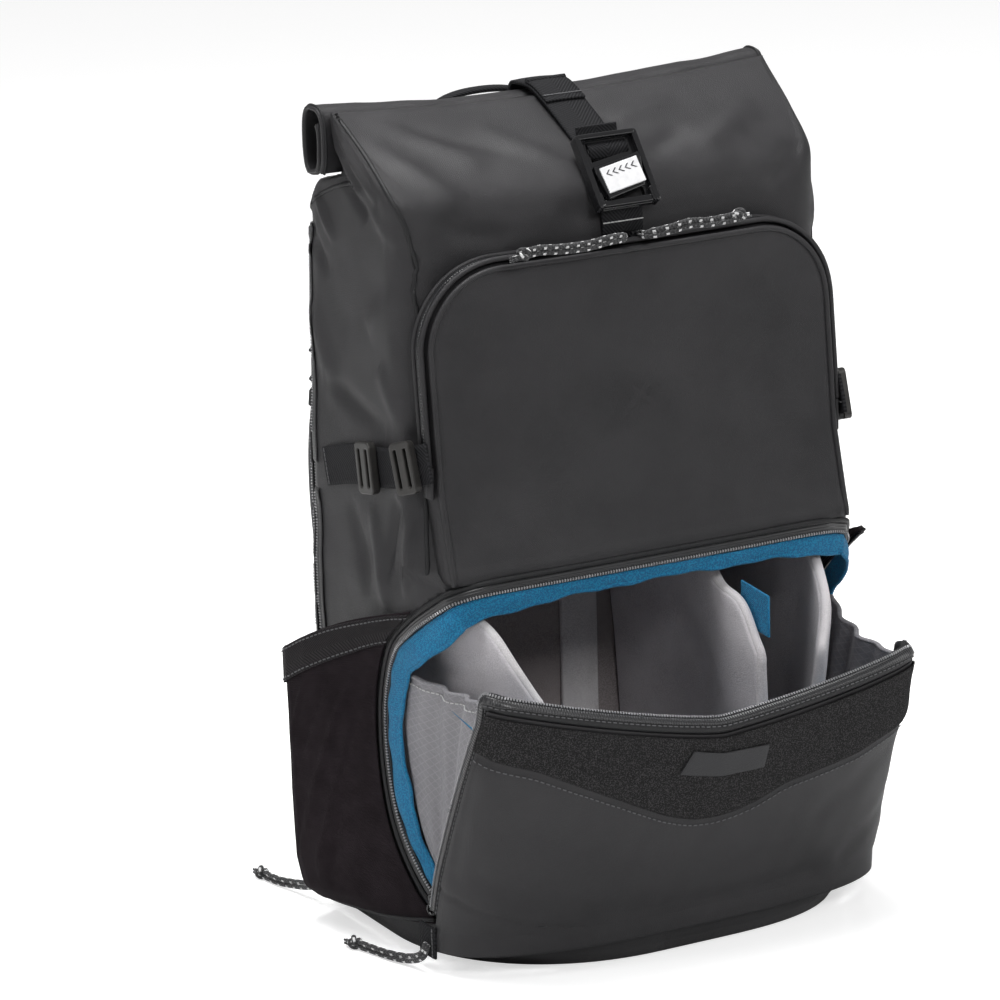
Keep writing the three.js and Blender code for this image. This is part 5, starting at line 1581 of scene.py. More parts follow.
# Side pockets of stretch cloth
POCKET_PLAN = rows(("s", "out", "along"), [
    (0.00, 0.00, 0.000), (0.05, 0.62, 0.005), (0.12, 0.95, 0.040), (0.22, 1.00, 0.140),
    (0.42, 0.86, 0.340), (0.62, 0.58, 0.560), (0.82, 0.24, 0.790), (1.00, 0.00, 1.000),
])
RIGHT_FLARE = rows(("s", "out"), [
    (0.30, 0.00), (0.55, 0.16), (0.75, 0.46), (0.88, 0.70), (0.95, 0.62), (1.00, 0.16),
])
POCKET_RISE = rows(("up", "fill"), [(0.00, 0.10), (0.03, 0.52), (0.08, 0.80), (0.20, 0.95), (1.00, 1.00)])
STRETCH_FOLDS = rows(("s1", "u1", "s2", "u2", "width", "depth"), [
    (0.86, 0.84, 0.30, 0.30, 0.030, 2.2),
    (0.80, 0.62, 0.34, 0.12, 0.028, 2.0),
    (0.92, 0.70, 0.55, 0.34, 0.022, -1.6),
    (0.66, 0.84, 0.24, 0.52, 0.030, -1.8),
    (0.44, 0.86, 0.16, 0.62, 0.026, 1.6),
    (0.72, 0.42, 0.44, 0.10, 0.022, -1.4),
    (0.90, 0.46, 0.66, 0.16, 0.026, 1.4),
    (0.30, 0.40, 0.16, 0.20, 0.024, -1.2),
])


def zip_behind():
    line = zip_side(200, ZIP_WIDTH / 2 + CLEAR * 5)
    return line[:, 2], line[:, 1]


BEHIND_Z, BEHIND_Y = zip_behind()


def pocket_grid(side, ups, steps=90, lift=0.0):
    s = np.linspace(0, 1, steps)[:, None]
    up = np.asarray(ups)[None]
    along = smooth_column(POCKET_PLAN, "s", "along", s, 0.03)
    along = (along - along[0]) / (along[-1] - along[0])
    low = 7 + (22 - 7) * along
    high = SIDE_RIM_REAR + (SIDE_RIM_FRONT - SIDE_RIM_REAR) * along
    z = low + (high - low) * up
    y = SIDE_REAR + (np.interp(z, BEHIND_Z, BEHIND_Y) - SIDE_REAR) * along
    fill = column(POCKET_RISE, "up", "fill", up)
    out = SIDE_BULGE * column(POCKET_PLAN, "s", "out", s) * fill
    if side == "right":
        out = out + SIDE_BULGE * smooth_column(RIGHT_FLARE, "s", "out", s, 0.05) * up ** 1.1
    seat = CLEAR * 3 + 2.4 * np.clip(s / 0.12, 0, 1)
    reach = np.array([[side_at(y[i, j], z[i, j], side) for j in range(z.shape[1])] for i in range(steps)])
    grid = np.stack([-reach - seat - out, y, z], -1)
    push = np.zeros(z.shape) + lift
    room = np.clip(np.sin(np.pi * s), 0, 1) * np.clip(up / 0.1, 0, 1) * np.clip((0.93 - up) / 0.1, 0, 1)
    for fold in STRETCH_FOLDS:
        run = np.array((fold["s2"] - fold["s1"], fold["u2"] - fold["u1"]))
        share = np.clip(((s - fold["s1"]) * run[0] + (up - fold["u1"]) * run[1]) / (run @ run), 0, 1)
        gap = np.hypot(s - fold["s1"] - share * run[0], up - fold["u1"] - share * run[1])
        fade = np.clip(4 * share * (1 - share), 0, 1) ** 0.5
        push = push + fold["depth"] * np.exp(-(gap / fold["width"]) ** 2) * room * fade
    push = push + unevenness(grid, 30, 0.35, 51) * room
    return grid + grid_normals(grid) * push[..., None]


def make_side_pocket(side):
    low_rim = 1 - SIDE_BAND / (SIDE_RIM_REAR - 7)
    ups = np.concatenate([np.linspace(0, 0.1, 10), np.linspace(0.12, low_rim, 44), np.linspace(low_rim + 0.02, 1, 6)])
    grid = pocket_grid(side, ups)
    if side == "right":
        grid = mirror(grid)
    cloth = coat(thicken(grid_piece(f"{side}_pocket_cloth", grid), 1.6, even=False), STRETCH)
    foot = grid[:, 1]
    hem = coat(tube(f"{side}_pocket_hem", foot, 1.2, sides=8), HEM)
    whole = join(f"{side}_stretch_pocket", [cloth, hem])
    fit(whole, f"side_pocket_{side}")
    band = pocket_grid(side, np.linspace(low_rim, 1, 12), lift=1.9)
    if side == "right":
        band = mirror(band)
    tape = coat(thicken(grid_piece(f"{side}_band_cloth", band.swapaxes(0, 1)[:, ::-1]), 1.2, even=False), BAND_WEBBING)
    out = grid_normals(band)
    rows_made = [
        stitches(f"{side}_band_stitches", band[:, k] + out[:, k] * 0.1, out[:, k], 3.4) for k in (1, 10)
    ]
    return fit(join(f"{side}_pocket_rim_band", [tape, *rows_made]), f"pocket_band_{side}")


# Side straps and their ladder-locks
SIDE_STRAP = [(0.45, 0.560), (0.00, 0.578), (-0.25, 0.590), (-0.45, 0.602), (-0.61, 0.616)]


def side_strap_line(out, count=60):
    points = []
    for share, up in SIDE_STRAP:
        y = BACK_REACH * share if share > 0 else FRONT_REACH * share
        z = BODY_HEIGHT * up
        reach = POCKET_HALF + 2.5 if share < -0.5 else side_at(max(y, -FRONT_REACH * 0.4), z)
        points.append((-reach - CLEAR * 2 - out, y, z))
    return smooth_line(points, count)


def ladder_frame(at):
    line = side_strap_line(2.3)
    k = int(round(at * 59))
    near = line[min(59, k + 4)] - line[k]
    along = unit(np.array((near[0], near[1], near[2])))
    side = np.array((0.0, 0.22, 0.975))
    side = unit(side - along * (side @ along))
    out = unit(np.cross(side, along))
    if out[0] > 0:
        out = -out
        side = -side
    return line[k], side, along, out


def make_ladder(name, at):
    place, side, along, out = ladder_frame(at)
    outline = round_box(-14.5, -8.5, 14.5, 8.5, 3.2)
    slots = [round_box(-10.6, y - 1.3, 10.6, y + 1.3, 0.8) for y in (-4.1, 4.1)]
    frame = coat(moulded(name, [outline, *slots], 4.8, 0.8, place + out * 2.8, (side, along, out)), GUNMETAL)
    return frame


def flip_side(piece):
    mesh = bmesh.new()
    mesh.from_mesh(piece.data)
    for vertex in mesh.verts:
        vertex.co.x = -vertex.co.x
    bmesh.ops.reverse_faces(mesh, faces=mesh.faces)
    mesh.to_mesh(piece.data)
    mesh.free()
    return piece


def make_side_strap(side):
    line = side_strap_line(2.0, 90)
    out = np.tile((-1.0, 0.0, 0.0), (len(line), 1))
    weave = coat(ribbon(f"{side}_strap_web", line, out, SIDE_WEB, 2.0, dome=0.3, steps=9), SIDE_WEBBING)
    parts = [weave]
    for at in (0.5, 0.86):
        place, across, along, away = ladder_frame(at)
        share = np.linspace(-1, 1, 24)
        hump = place + along * share[:, None] * 5.6 + away * (3.4 * np.cos(share * np.pi / 2) + 0.4)[:, None]
        lifted = np.tile(away, (24, 1))
        parts.append(coat(ribbon(f"{side}_strap_hump", hump, lifted, 19.5, 1.4, steps=7), SIDE_WEBBING))
    end, across, along, away = ladder_frame(0.02)
    box = line[1:6] + out[1:6] * 0.2
    parts.append(stitches(f"{side}_strap_bar", np.stack([box[1] + across * s for s in np.linspace(-9, 9, 20)]),
                          np.tile(away, (20, 1)), 2.4))
    whole = join(f"{side}_compression_strap", parts)
    if side == "right":
        flip_side(whole)
    fit(whole, f"strap_{side}")
    for label, at in (("rear", 0.5), ("front", 0.86)):
        lock = make_ladder(f"{side}_{label}_ladder_lock", at)
        if side == "right":
            flip_side(lock)
        fit(lock, f"buckle_{side}_{label}")


# Strap over the roll
def over_strap_line():
    roof_back = BACK_REACH * 0.196
    rear = roof_back + CLEAR + ROLL_THICK
    foot = BODY_HEIGHT * 0.914
    top = foot + CLEAR + ROLL_TALL - RIDGE_SAG
    lift = 2 + CLEAR * 2
    points = [
        (BACK_REACH * 0.8 + lift * 1.6, BODY_HEIGHT * 0.89), (rear + 7, foot + 3), (rear + lift, foot + 12),
        (rear + lift, top - 12), (rear - 2, top - 2 + lift), (rear - ROLL_THICK * 0.4, top + lift + 0.4),
        (roof_back, top + lift),
    ]
    for share in (0.977, 0.96, 0.94):
        z = BODY_HEIGHT * share
        points.append((front_at(0, z) - lift, z + lift))
    points.append((-FRONT_REACH * 0.28, BODY_HEIGHT * 0.9615))
    return smooth_line([(0.0, y, z) for y, z in points], 150)


def across_x(line):
    return unit(np.cross(unit(np.gradient(line, axis=0)), (1.0, 0.0, 0.0)))


def make_top_strap():
    line = over_strap_line()
    out = across_x(line)
    web = coat(ribbon("over_roll_web", line, out, WEB_WIDTH, 2.0, dome=0.5, steps=11), WEBBING)
    start, stop = 78, 104
    fold = line[start:stop] + out[start:stop] * 1.6
    second = coat(ribbon("keeper_web", fold, out[start:stop], WEB_WIDTH - 0.5, 1.5, dome=0.4, steps=9), WEBBING)
    lip = np.stack([line[start] + out[start] * 1.2 + (x, 0, 0) for x in np.linspace(-12.2, 12.2, 12)])
    bend = coat(tube("keeper_bend", lip, 1.9, sides=10), WEBBING)
    k = 98
    bar = np.stack([line[k] + out[k] * 2.0 + (x, 0, 0) for x in np.linspace(-11, 11, 20)])
    bar_row = stitches("keeper_stitches", bar, np.tile(out[k], (20, 1)), 2.2)
    return fit(join("over_roll_strap", [web, second, bend, bar_row]), "top_strap")


BUCKLE_SLOPE = math.atan2(38, 30)


def buckle_axes():
    c, s = math.cos(BUCKLE_SLOPE), math.sin(BUCKLE_SLOPE)
    return (1.0, 0.0, 0.0), (0.0, c, s), (0.0, -s, c)


def buckle_place(x, y, out):
    right, up, away = (np.array(axis) for axis in buckle_axes())
    return np.array((0.0, FRONT_REACH * -0.415, BODY_HEIGHT * 0.912)) + right * x + up * y + away * out


def make_buckle():
    axes = buckle_axes()
    hole = [(-12.0, 5.5), (12.5, 10.0), (12.5, 17.0), (-12.0, 17.0)]
    low_hole = [(-12.5, -19.5), (12.5, -19.5), (12.5, -12.0), (-12.5, -16.0)]
    base = moulded("buckle_base", [round_box(-18.0, -23.0, 18.0, 20.5, 3), hole, low_hole], 3.4, 0.6,
                   buckle_place(0, 0, 2.0), axes)
    parts = [base]
    for x in (-17.6, 17.6):
        parts.append(moulded("buckle_rail", [round_box(-1.7, -23.5, 1.7, 21.0, 1.6)], 7.4, 0.9,
                             buckle_place(x, 0, 3.8), axes))
        parts.append(moulded("buckle_lug", [round_box(-2.4, -4.5, 2.4, 4.5, 1.6)], 4.6, 0.8,
                             buckle_place(x * 0.97, -18.5, 4.6), axes))
    bars = ((19.6, 5.6, 1.5), (-20.6, 3.6, 2.0))
    for y, out, thick in bars:
        parts.append(moulded("buckle_bar", [round_box(-18.0, -thick, 18.0, thick, thick * 0.9)], 4.6, 0.9,
                             buckle_place(0, y, out), axes))
    lever = [(-14.2, 1.0), (15.6, 7.0), (16.2, 3.0), (12.6, -13.5), (-11.6, -19.0), (-14.6, -3.0)]
    parts.append(moulded("buckle_lever", [lever], 4.4, 1.0, buckle_place(0, 0, 5.6), axes))
    pieces = [coat(piece, GLOSS_PLASTIC) for piece in parts]
    share = np.linspace(-1, 1, 18)
    hump = np.stack([buckle_place(0, 13 + 5.4 * t, 2.6 + 3.0 * math.cos(t * math.pi / 2)) for t in share])
    web = coat(ribbon("buckle_web", hump[::-1], np.tile(axes[2], (18, 1)), 24.0, 1.4, steps=7), WEBBING)
    return fit(join("top_buckle_body", [*pieces, web]), "top_buckle_frame")


# Slanted plate with a row of plain arrow marks
def make_buckle_plate():
    right, up, away = (np.array(axis) for axis in buckle_axes())
    lean = math.radians(11)
    axes = (right * math.cos(lean) + up * math.sin(lean), up * math.cos(lean) - right * math.sin(lean), away)
    outline = [(-13.4, -8.6), (11.4, -8.6), (13.6, 6.6), (-11.6, 6.6)]
    plate = coat(moulded("silver_plate", [outline], 1.2, 0.35, buckle_place(0.6, -5.2, 8.2), axes), SILVER)
    arrows = []
    for k in range(5):
        x = -8.6 + 4.2 * k
        arrow = [(1.3, 1.9), (-1.2, 0), (1.3, -1.9), (2.4, -1.9), (-0.1, 0), (2.4, 1.9)]
        seat = buckle_place(0.6, -5.2, 8.86) + axes[0] * x + axes[1] * 2.2
        arrows.append(coat(moulded(f"arrow_{k}", [arrow], 0.2, 0.05, seat, axes), MARK))
    return fit(join("slanted_plate", [plate, *arrows]), "top_buckle_plate")


def make_lower_webbing():
    points = [(0.0, front_at(0, BODY_HEIGHT * s) - 2.3, BODY_HEIGHT * s) for s in (0.884, 0.875, 0.865, 0.855, 0.845)]
    line = smooth_line(points, 40)
    out = -across_x(line)
    out = np.where((out[:, 1] < 0)[:, None], out, -out)
    web = coat(ribbon("lower_web", line, out, WEB_WIDTH, 2.0, dome=0.4, steps=9), WEBBING)
    k = 26
    bar = np.stack([line[k] + out[k] * 0.3 + (x, 0, 0) for x in np.linspace(-11.5, 11.5, 20)])
    row = stitches("lower_web_stitches", bar, np.tile(out[k], (20, 1)), 2.2, PALE_THREAD)
    return fit(join("lower_anchor_webbing", [web, row]), "lower_webbing")


# Rolled mouth: a spiral of cloth on the ledge behind the ridge
def make_roll():
    middle_y = BACK_REACH * 0.196 + CLEAR + ROLL_THICK / 2
    middle_z = BODY_HEIGHT * 0.914 + CLEAR + ROLL_TALL / 2 - 1.2
    t = np.linspace(0, 1, 130)[:, None]
    share = np.linspace(1, -1, 150)[None]
    angle = -np.pi * 0.72 - t * np.pi * 2.62
    tuck = 0.42 * np.clip((t - 0.62) / 0.2, 0, 1)
    c, s = np.cos(angle), np.sin(angle)
    y = np.sign(c) * np.abs(c) ** 0.7 * ROLL_THICK / 2 * (1 - tuck)
    z = np.sign(s) * np.abs(s) ** 0.7 * ROLL_TALL / 2 * (1 - tuck)
    x = share * ROLL_LENGTH / 2
    z = middle_z + z
    grid = np.stack(np.broadcast_arrays(x, middle_y + y, z - sag_at(x, z)), -1)
    dent = unevenness(grid * (0.5, 1, 1), 24, 0.35, 61) + unevenness(grid, 60, 0.5, 62)
    dent = np.minimum(dent, 0.4) - 0.4
    grid = grid + grid_normals(grid) * dent[..., None]
    roll = coat(thicken(grid_piece("rolled_mouth", grid), 2.0, even=False), COATED)
    ends = [coat(tube("roll_end_hem", resample(grid[:, k], 120), 0.9, 1.1, sides=8), HEM) for k in (1, -2)]
    whole = join("roll_of_cloth", [roll, *ends])
    fit(whole, "roll_top")
    return whole


# Front pocket
def pocket_outline(inset, count=240):
    half = POCKET_HALF - inset
    top = POCKET_TOP - inset
    low = POCKET_BASE - POCKET_SKIRT
    r = max(POCKET_CORNER - inset, 6)
    turn = np.linspace(0, np.pi / 2, 20)
    right = np.stack([half - r + r * np.cos(turn), top - r + r * np.sin(turn)], 1)
    left = right[::-1] * (-1, 1)
    points = np.vstack([[(half, low)], right, left, [(-half, low)]])
    upper = resample(points, count - 60)
    base = resample(np.array([(-half, low), (half, low)]), 62)[1:-1]
    return np.vstack([upper, base])


def pocket_face(x, z):
    reach = POCKET_HALF * 0.85
    return front_at(min(max(x, -reach), reach), z) - CLEAR - POCKET_DEPTH


POCKET_FOLDS = rows(("x1", "z1", "x2", "z2", "width", "depth"), [
    (-118, 360, -86, 344, 7, -1.0),
    (-112, 300, -84, 262, 8, -1.1),
    (-122, 262, -96, 236, 6, 1.2),
    (-60, 240, 10, 248, 9, -0.9),
    (40, 244, 98, 238, 8, -0.9),
    (84, 366, 116, 340, 7, -1.0),
    (90, 300, 118, 262, 8, 0.9),
    (-40, 380, 40, 378, 7, 0.7),
    (-30, 330, 50, 300, 14, 0.6),
])


def pocket_push(x, z):
    points = np.stack([x, 0 * x, z], -1)
    total = unevenness(points, 90, 0.8, 71) + unevenness(points, 32, 0.25, 72)
    for fold in POCKET_FOLDS:
        a = np.array((fold["x1"], 0, fold["z1"]))
        run = np.array((fold["x2"], 0, fold["z2"])) - a
        share = np.clip(((points - a) @ run) / (run @ run), 0, 1)
        gap = np.linalg.norm(points - a - share[..., None] * run, axis=-1)
        total = total + fold["depth"] * np.exp(-(gap / fold["width"]) ** 2)
    return total


def make_front_pocket():
    layers = [(0, 0.02, 1), (0, 0.25, 1), (0, 0.5, 1), (0.5, 0.68, 1), (1.5, 0.84, 1), (3.2, 0.95, 1), (6, 1, 1)]
    layers += [(6, 1, share) for share in np.linspace(0.985, 0.02, 40)]
    middle = (POCKET_BASE + POCKET_TOP) / 2
    rings = []
    for inset, depth, share in layers:
        outline = pocket_outline(inset)
        x = outline[:, 0] * share
        z = middle + (outline[:, 1] - middle) * share
        inner = np.sign(x) * np.maximum(np.abs(x) - 3.5, 0)
        level = np.maximum(z, POCKET_BASE + 1)
        calm = np.clip((z - POCKET_BASE) / 12, 0, 1)
        seat = np.array([front_at(a, b) for a, b in zip(inner, level)]) - CLEAR * 3
        face = np.array([pocket_face(a, b) for a, b in zip(x, level)]) - 0.9 * (1 - calm)
        puff = 2.2 * (1 - share ** 4) * calm if depth == 1 else 0
        push = pocket_push(x, z) * (1 - share ** 6) * calm if depth == 1 else 0
        rings.append(np.stack([x, seat + (face - seat) * depth - puff * 0.6 - push, z], 1))
    grid = np.swapaxes(np.array(rings), 0, 1)
    shell = grid_piece("front_pocket_cloth", grid, closed=True)
    mesh = bmesh.new()
    mesh.from_mesh(shell.data)
    mesh.verts.ensure_lookup_table()
    inner_ring = [vert for vert in mesh.verts if vert.is_boundary and abs(vert.co.z - middle * MM) < 0.02]
    inner_edges = [edge for edge in mesh.edges if edge.is_boundary and all(v in inner_ring for v in edge.verts)]
    bmesh.ops.holes_fill(mesh, edges=inner_edges, sides=0)
    mesh.to_mesh(shell.data)
    mesh.free()
    shell = coat(thicken(shell, 2.0, even=False), COATED)
    edge_lines = []
    outline = pocket_outline(2.2)
    run = np.array([(x, pocket_face(x, max(z, POCKET_BASE + 1)) + 1.0, z) for x, z in outline[:180]])
    edge_lines.append(coat(tube("pocket_edge_roll", run, 1.7, sides=10), COATED))
    return fit(join("front_pocket_shell", [shell, *edge_lines]), "front_pocket")


def zip_run(outside, count=220):
    low = POCKET_BASE + (POCKET_TOP - POCKET_BASE) * 0.36
    outline = [tuple(p) for p in pocket_outline(-outside)[:180] if p[1] > low][::-1]
    half = POCKET_HALF + outside
    return resample(np.array([(-half, low), *outline, (half, low)]), count)


def make_pocket_zip():
    line = zip_run(CLEAR)
    points = np.array([(x, pocket_face(x, z) + POCKET_DEPTH * 0.3, z) for x, z in line])
    along = unit(np.gradient(points * (1, 0, 1), axis=0))
    out = np.stack([-along[:, 2], 0 * along[:, 0], along[:, 0]], 1)
    points = points + out * ZIP_THICK
    room = np.array([min(8.0, front_at(x, z) - CLEAR * 2 - y) for x, y, z in points])
    share = np.linspace(0, 1, 9)[None, :]
    swell = 0.7 * np.sin(np.pi * share) - 0.9 * np.exp(-((share - 0.5) / 0.07) ** 2)
    grid = points[:, None] + np.stack([0 * share * room[:, None], share * room[:, None], 0 * share * room[:, None]], -1)
    grid = grid + out[:, None] * swell[..., None]
    tape = coat(thicken(grid_piece("pocket_zip_tape", grid), 1.5, even=False), ZIP_TAPE)
    parts = [tape]
    for share_at, radius in ((-0.06, 1.5), (0.98, 1.4)):
        lip = points + (0, 1, 0) * (room * share_at)[:, None] + out * 0.5
        parts.append(coat(tube("pocket_zip_lip", lip, radius, sides=10), COATED))
    middle = points + (0, 1, 0) * (room * 0.5)[:, None] + out * 0.1
    parts.append(repeat_along("pocket_zip_teeth", middle, out, 1.7, DARK_TEETH, (0.8, 2.0, 0.9)))
    return fit(join("front_pocket_zip_run", parts), "front_pocket_zip")


def make_garage(name, side):
    z = POCKET_BASE + (POCKET_TOP - POCKET_BASE) * 0.36
    y = pocket_face(-POCKET_HALF, z - 9) + POCKET_DEPTH * 0.25
    x = -POCKET_HALF - CLEAR - 2
    share = np.linspace(0, 1, 12)[:, None]
    up = np.linspace(0, 1, 18)[None]
    grid = np.stack(np.broadcast_arrays(
        x - 1.2 * np.sin(np.pi * share) + 0 * up, y + 9.5 - share * 10.5, z - 18 + (18 - CLEAR) * up,
    ), -1)
    tab = coat(soften(thicken(grid_piece(f"{name}_garage_cloth", grid), 2.0), 0.6), COATED)
    bar = np.stack([np.array((x - 1.2, y + 8.5 - 9 * t, z - 2.2)) for t in np.linspace(0, 1, 12)])
    row = stitches(f"{name}_garage_stitches", bar, np.tile((-1.0, 0.0, 0.0), (12, 1)), 2.2)
    whole = join(f"{name}_zip_garage", [tab, row])
    if side > 0:
        flip_side(whole)
    return fit(whole, f"zip_garage_{name}")


# Zip slider with a small pull ring: long along its zip, wide across it and tall away from it
def make_slider(name, node, centre, along, out, long, wide, tall, ring_drop):
    along, out = unit(np.asarray(along, float)), unit(np.asarray(out, float))
    side = np.cross(out, along)
    axes = (side, along, out)
    shape = round_box(-wide / 2, -long / 2, wide / 2, long / 2, min(long, wide) * 0.36)
    body_part = moulded(f"{name}_body", [shape], tall * 0.62, tall * 0.2, centre - out * tall * 0.12, axes)
    bridge = moulded(f"{name}_bridge", [round_box(-wide * 0.18, -long * 0.36, wide * 0.18, long * 0.36, 0.6)],
                     tall * 0.5, 0.4, centre + out * tall * 0.3, axes)
    turn = np.linspace(0, 2 * np.pi, 32)
    hang = unit(np.asarray(ring_drop, float))
    across = unit(np.cross(hang, out))
    middle = centre + out * tall * 0.45 + hang * 3.0
    loop = middle + 2.9 * (np.cos(turn)[:, None] * hang + np.sin(turn)[:, None] * across)
    ring = tube(f"{name}_ring", loop, 0.75, sides=8, ends=False)
    parts = [coat(body_part, GLOSS_PLASTIC), coat(bridge, GLOSS_PLASTIC), coat(ring, GLOSS_PLASTIC)]
    return fit(join(name, parts), node)


def make_sliders():
    for side, name in ((-1, "left"), (1, "right")):
        low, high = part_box(f"slider_pocket_{name}")
        centre = np.array((low + high) / 2) / MM
        make_slider(f"pocket_slider_{name}", f"slider_pocket_{name}", centre, (1, 0, 0), (0, -0.25, 1.0),
                    11, 8, 4, (side * 0.5, -1.0, -0.2))
    low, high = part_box("slider_flap_left")
    centre = np.array((low + high) / 2) / MM
    make_slider("flap_slider", "slider_flap_left", centre, (0, 0.3, 1), zip_out[8], 11, 6, 4, (0, -0.2, -1))
    low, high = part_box("slider_laptop")
    centre = np.array((low + high) / 2) / MM
    make_slider("sleeve_slider", "slider_laptop", centre, (0, 0, 1), (-1, 0, 0), 11, 8, 4, (0, 0.2, -1))


def make_zip_tab(name, side):
    low, high = (np.array(corner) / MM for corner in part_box(f"zip_tab_{name}"))
    x = low[0] if side < 0 else high[0]
    share = np.linspace(1, 0, 14)[:, None]
    up = np.linspace(0, 1, 20)[None]
    grid = np.stack(np.broadcast_arrays(
        x - side * 0.2 + side * 0.5 * np.sin(np.pi * share), low[1] + share * (high[1] - low[1]), 8 + 18 * up,
    ), -1)
    if side > 0:
        grid = grid[::-1]
    tab = coat(soften(thicken(grid_piece(f"{name}_tab_cloth", grid), 1.6), 0.4), SIDE_WEBBING)
    bar = np.stack([np.array((x + side * 0.2, low[1] + 2, z)) for z in np.linspace(9.5, 24.5, 12)])
    row = stitches(f"{name}_tab_stitches", bar, np.tile((float(side), 0.0, 0.0), (12, 1)), 2.4)
    return fit(join(f"{name}_zip_end_tab", [tab, row]), f"zip_tab_{name}")


# Carrying side
BACK_OUTLINE = rows(("z", "width"), [
    (0.023, 0.90), (0.050, 1.00), (0.230, 1.00), (0.380, 1.00), (0.440, 1.00), (0.580, 0.99),
    (0.750, 0.95), (0.840, 0.90), (0.875, 0.84), (0.898, 0.76), (0.914, 0.62),
])


def make_back_panel():
    rings = []
    levels = np.concatenate([
        [0.0232, 0.0245, 0.028], np.linspace(0.034, 0.90, 86), [0.906, 0.9115, 0.914],
    ])
    turn = np.linspace(0, 2 * np.pi, 180, endpoint=False)
    for level in levels:
        z = level * BODY_HEIGHT
        half = PAD_HALF * float(column(BACK_OUTLINE, "z", "width", level))
        edge = min((level - 0.0225) / 0.012, (0.9145 - level) / 0.012, 1.0)
        seat = section(min(z, BODY_HEIGHT * 0.84))["back"] + CLEAR
        face = BACK_REACH + CLEAR + PAD_THICK * (0.35 + 0.65 * math.sqrt(max(edge, 0)))
        c, s = np.cos(turn), np.sin(turn)
        x = half * np.sign(c) * np.abs(c) ** 0.4
        y = (seat + face) / 2 + (face - seat) / 2 * np.sign(s) * np.abs(s) ** 0.5
        channel = 3.2 * np.exp(-(x / 13) ** 2) + 2.4 * math.exp(-((level - 0.46) / 0.022) ** 2)
        channel = channel + 1.4 * math.exp(-((level - 0.72) / 0.015) ** 2)
        y = y - channel * np.clip(s, 0, 1) ** 0.5 * max(edge, 0)
        rings.append(np.stack([x, y, np.full(180, z)], 1))
    pad = coat(loft("back_pad", rings), SPACER)
    return fit(pad, "back_panel")


STRAP_RUN = [
    (0.895, 0.36, 0.80), (0.840, 0.44, 0.95), (0.720, 0.60, 1.00), (0.560, 0.72, 1.00), (0.400, 0.74, 0.85),
    (0.300, 0.72, 0.62),
]
BACK_FACE = BACK_REACH + CLEAR + PAD_THICK + CLEAR


def make_shoulder_strap(name, side):
    runs = smooth_line(STRAP_RUN, 110)
    turn = np.linspace(0, 2 * np.pi, 72, endpoint=False)
    rings = []
    for k, (z, x, width) in enumerate(runs):
        end = math.sqrt(min(1.0, min(k, len(runs) - 1 - k) / 5 + 0.05))
        c, s = np.cos(turn), np.sin(turn)
        half = STRAP_WIDTH * width / 2 * (0.9 + 0.1 * end)
        thick = STRAP_THICK * (0.35 + 0.65 * end)
        px = -PAD_HALF * x + half * np.sign(c) * np.abs(c) ** 0.45
        py = BACK_FACE + thick / 2 + thick / 2 * np.sign(s) * np.abs(s) ** 0.6
        rings.append(np.stack([px, py, np.full(72, z * BODY_HEIGHT)], 1))
    pad = coat(loft(f"{name}_strap_pad", rings[::-1]), SPACER)
    line = np.array([(-PAD_HALF * x, BACK_FACE + STRAP_THICK + 0.4, z * BODY_HEIGHT) for z, x, _ in runs[6:-6]])
    web = coat(ribbon(f"{name}_strap_centre", line, np.tile((0.0, 1.0, 0.0), (len(line), 1)), 22, 1.2), SIDE_WEBBING)
    whole = join(f"{name}_shoulder_pad", [pad, web])
    if side > 0:
        flip_side(whole)
    fit(whole, f"shoulder_strap_{name}")
    top = BODY_HEIGHT * 0.3 - CLEAR * 4
    points = [(-PAD_HALF * (0.72 + 0.14 * t), BACK_FACE + 2, top + (BODY_HEIGHT * 0.06 - top) * t) for t in (0, 0.5, 1)]
    line = smooth_line(points, 50)
    web = coat(ribbon(f"{name}_adjuster", line, np.tile((0.0, 1.0, 0.0), (50, 1)), WEB_WIDTH, 2.0, dome=0.2), WEBBING)
    if side > 0:
        flip_side(web)
    return fit(web, f"strap_webbing_{name}")


def make_handle():
    middle = -8
    y = BACK_FACE - PAD_THICK * 0.5
    foot = BODY_HEIGHT * 0.914 + CLEAR * 6
    points = [
        (middle - HANDLE_SPAN / 2, y, foot), (middle - HANDLE_SPAN * 0.44, y + 1, foot + 9),
        (middle - HANDLE_SPAN * 0.25, y + 2, HANDLE_TOP - 3), (middle, y + 2, HANDLE_TOP),
        (middle + HANDLE_SPAN * 0.25, y + 2, HANDLE_TOP - 3), (middle + HANDLE_SPAN * 0.44, y + 1, foot + 9),
        (middle + HANDLE_SPAN / 2, y, foot),
    ]
    line = smooth_line(points, 120) + (0, 1, -1.5)
    away = unit(line - np.array((middle, y, foot - 60)))
    grip = coat(tube("handle_grip", line, 2.0, 4.2, out=away, sides=16), WEBBING)
    return fit(grip, "grab_handle")


# Seams of the body: a low piping laid on the cloth
SEAMS = {
    "top_left": [(-135, 9, 464), (-133, -20, 447), (-133, -48, 427), (-133, -62, 412), (-133, -66.6, 398),
                 (-132, -71, 377), (-130, -72, 340), (-129, -70, 300), (-129, -70, 262), (-131, -74, 222)],
    "top_right": [(135, 31, 465), (134, 7, 449), (133, -25, 428), (133, -40, 402), (133, -49, 373),
                  (131, -56, 330), (129, -60, 280), (130, -70, 224)],
    "side_edge_left": [(-136, 66, 400), (-136, 33, 416), (-134, 0, 427), (-133, -30, 426)],
}


def make_body_seams():
    parts = []
    for name, points in SEAMS.items():
        line, out = laid_on_body(smooth_line(points, 120), 0.1)
        parts.append(coat(tube(f"{name}_piping", line, 0.7, 1.2, out=out, sides=10), HEM))
    return parts


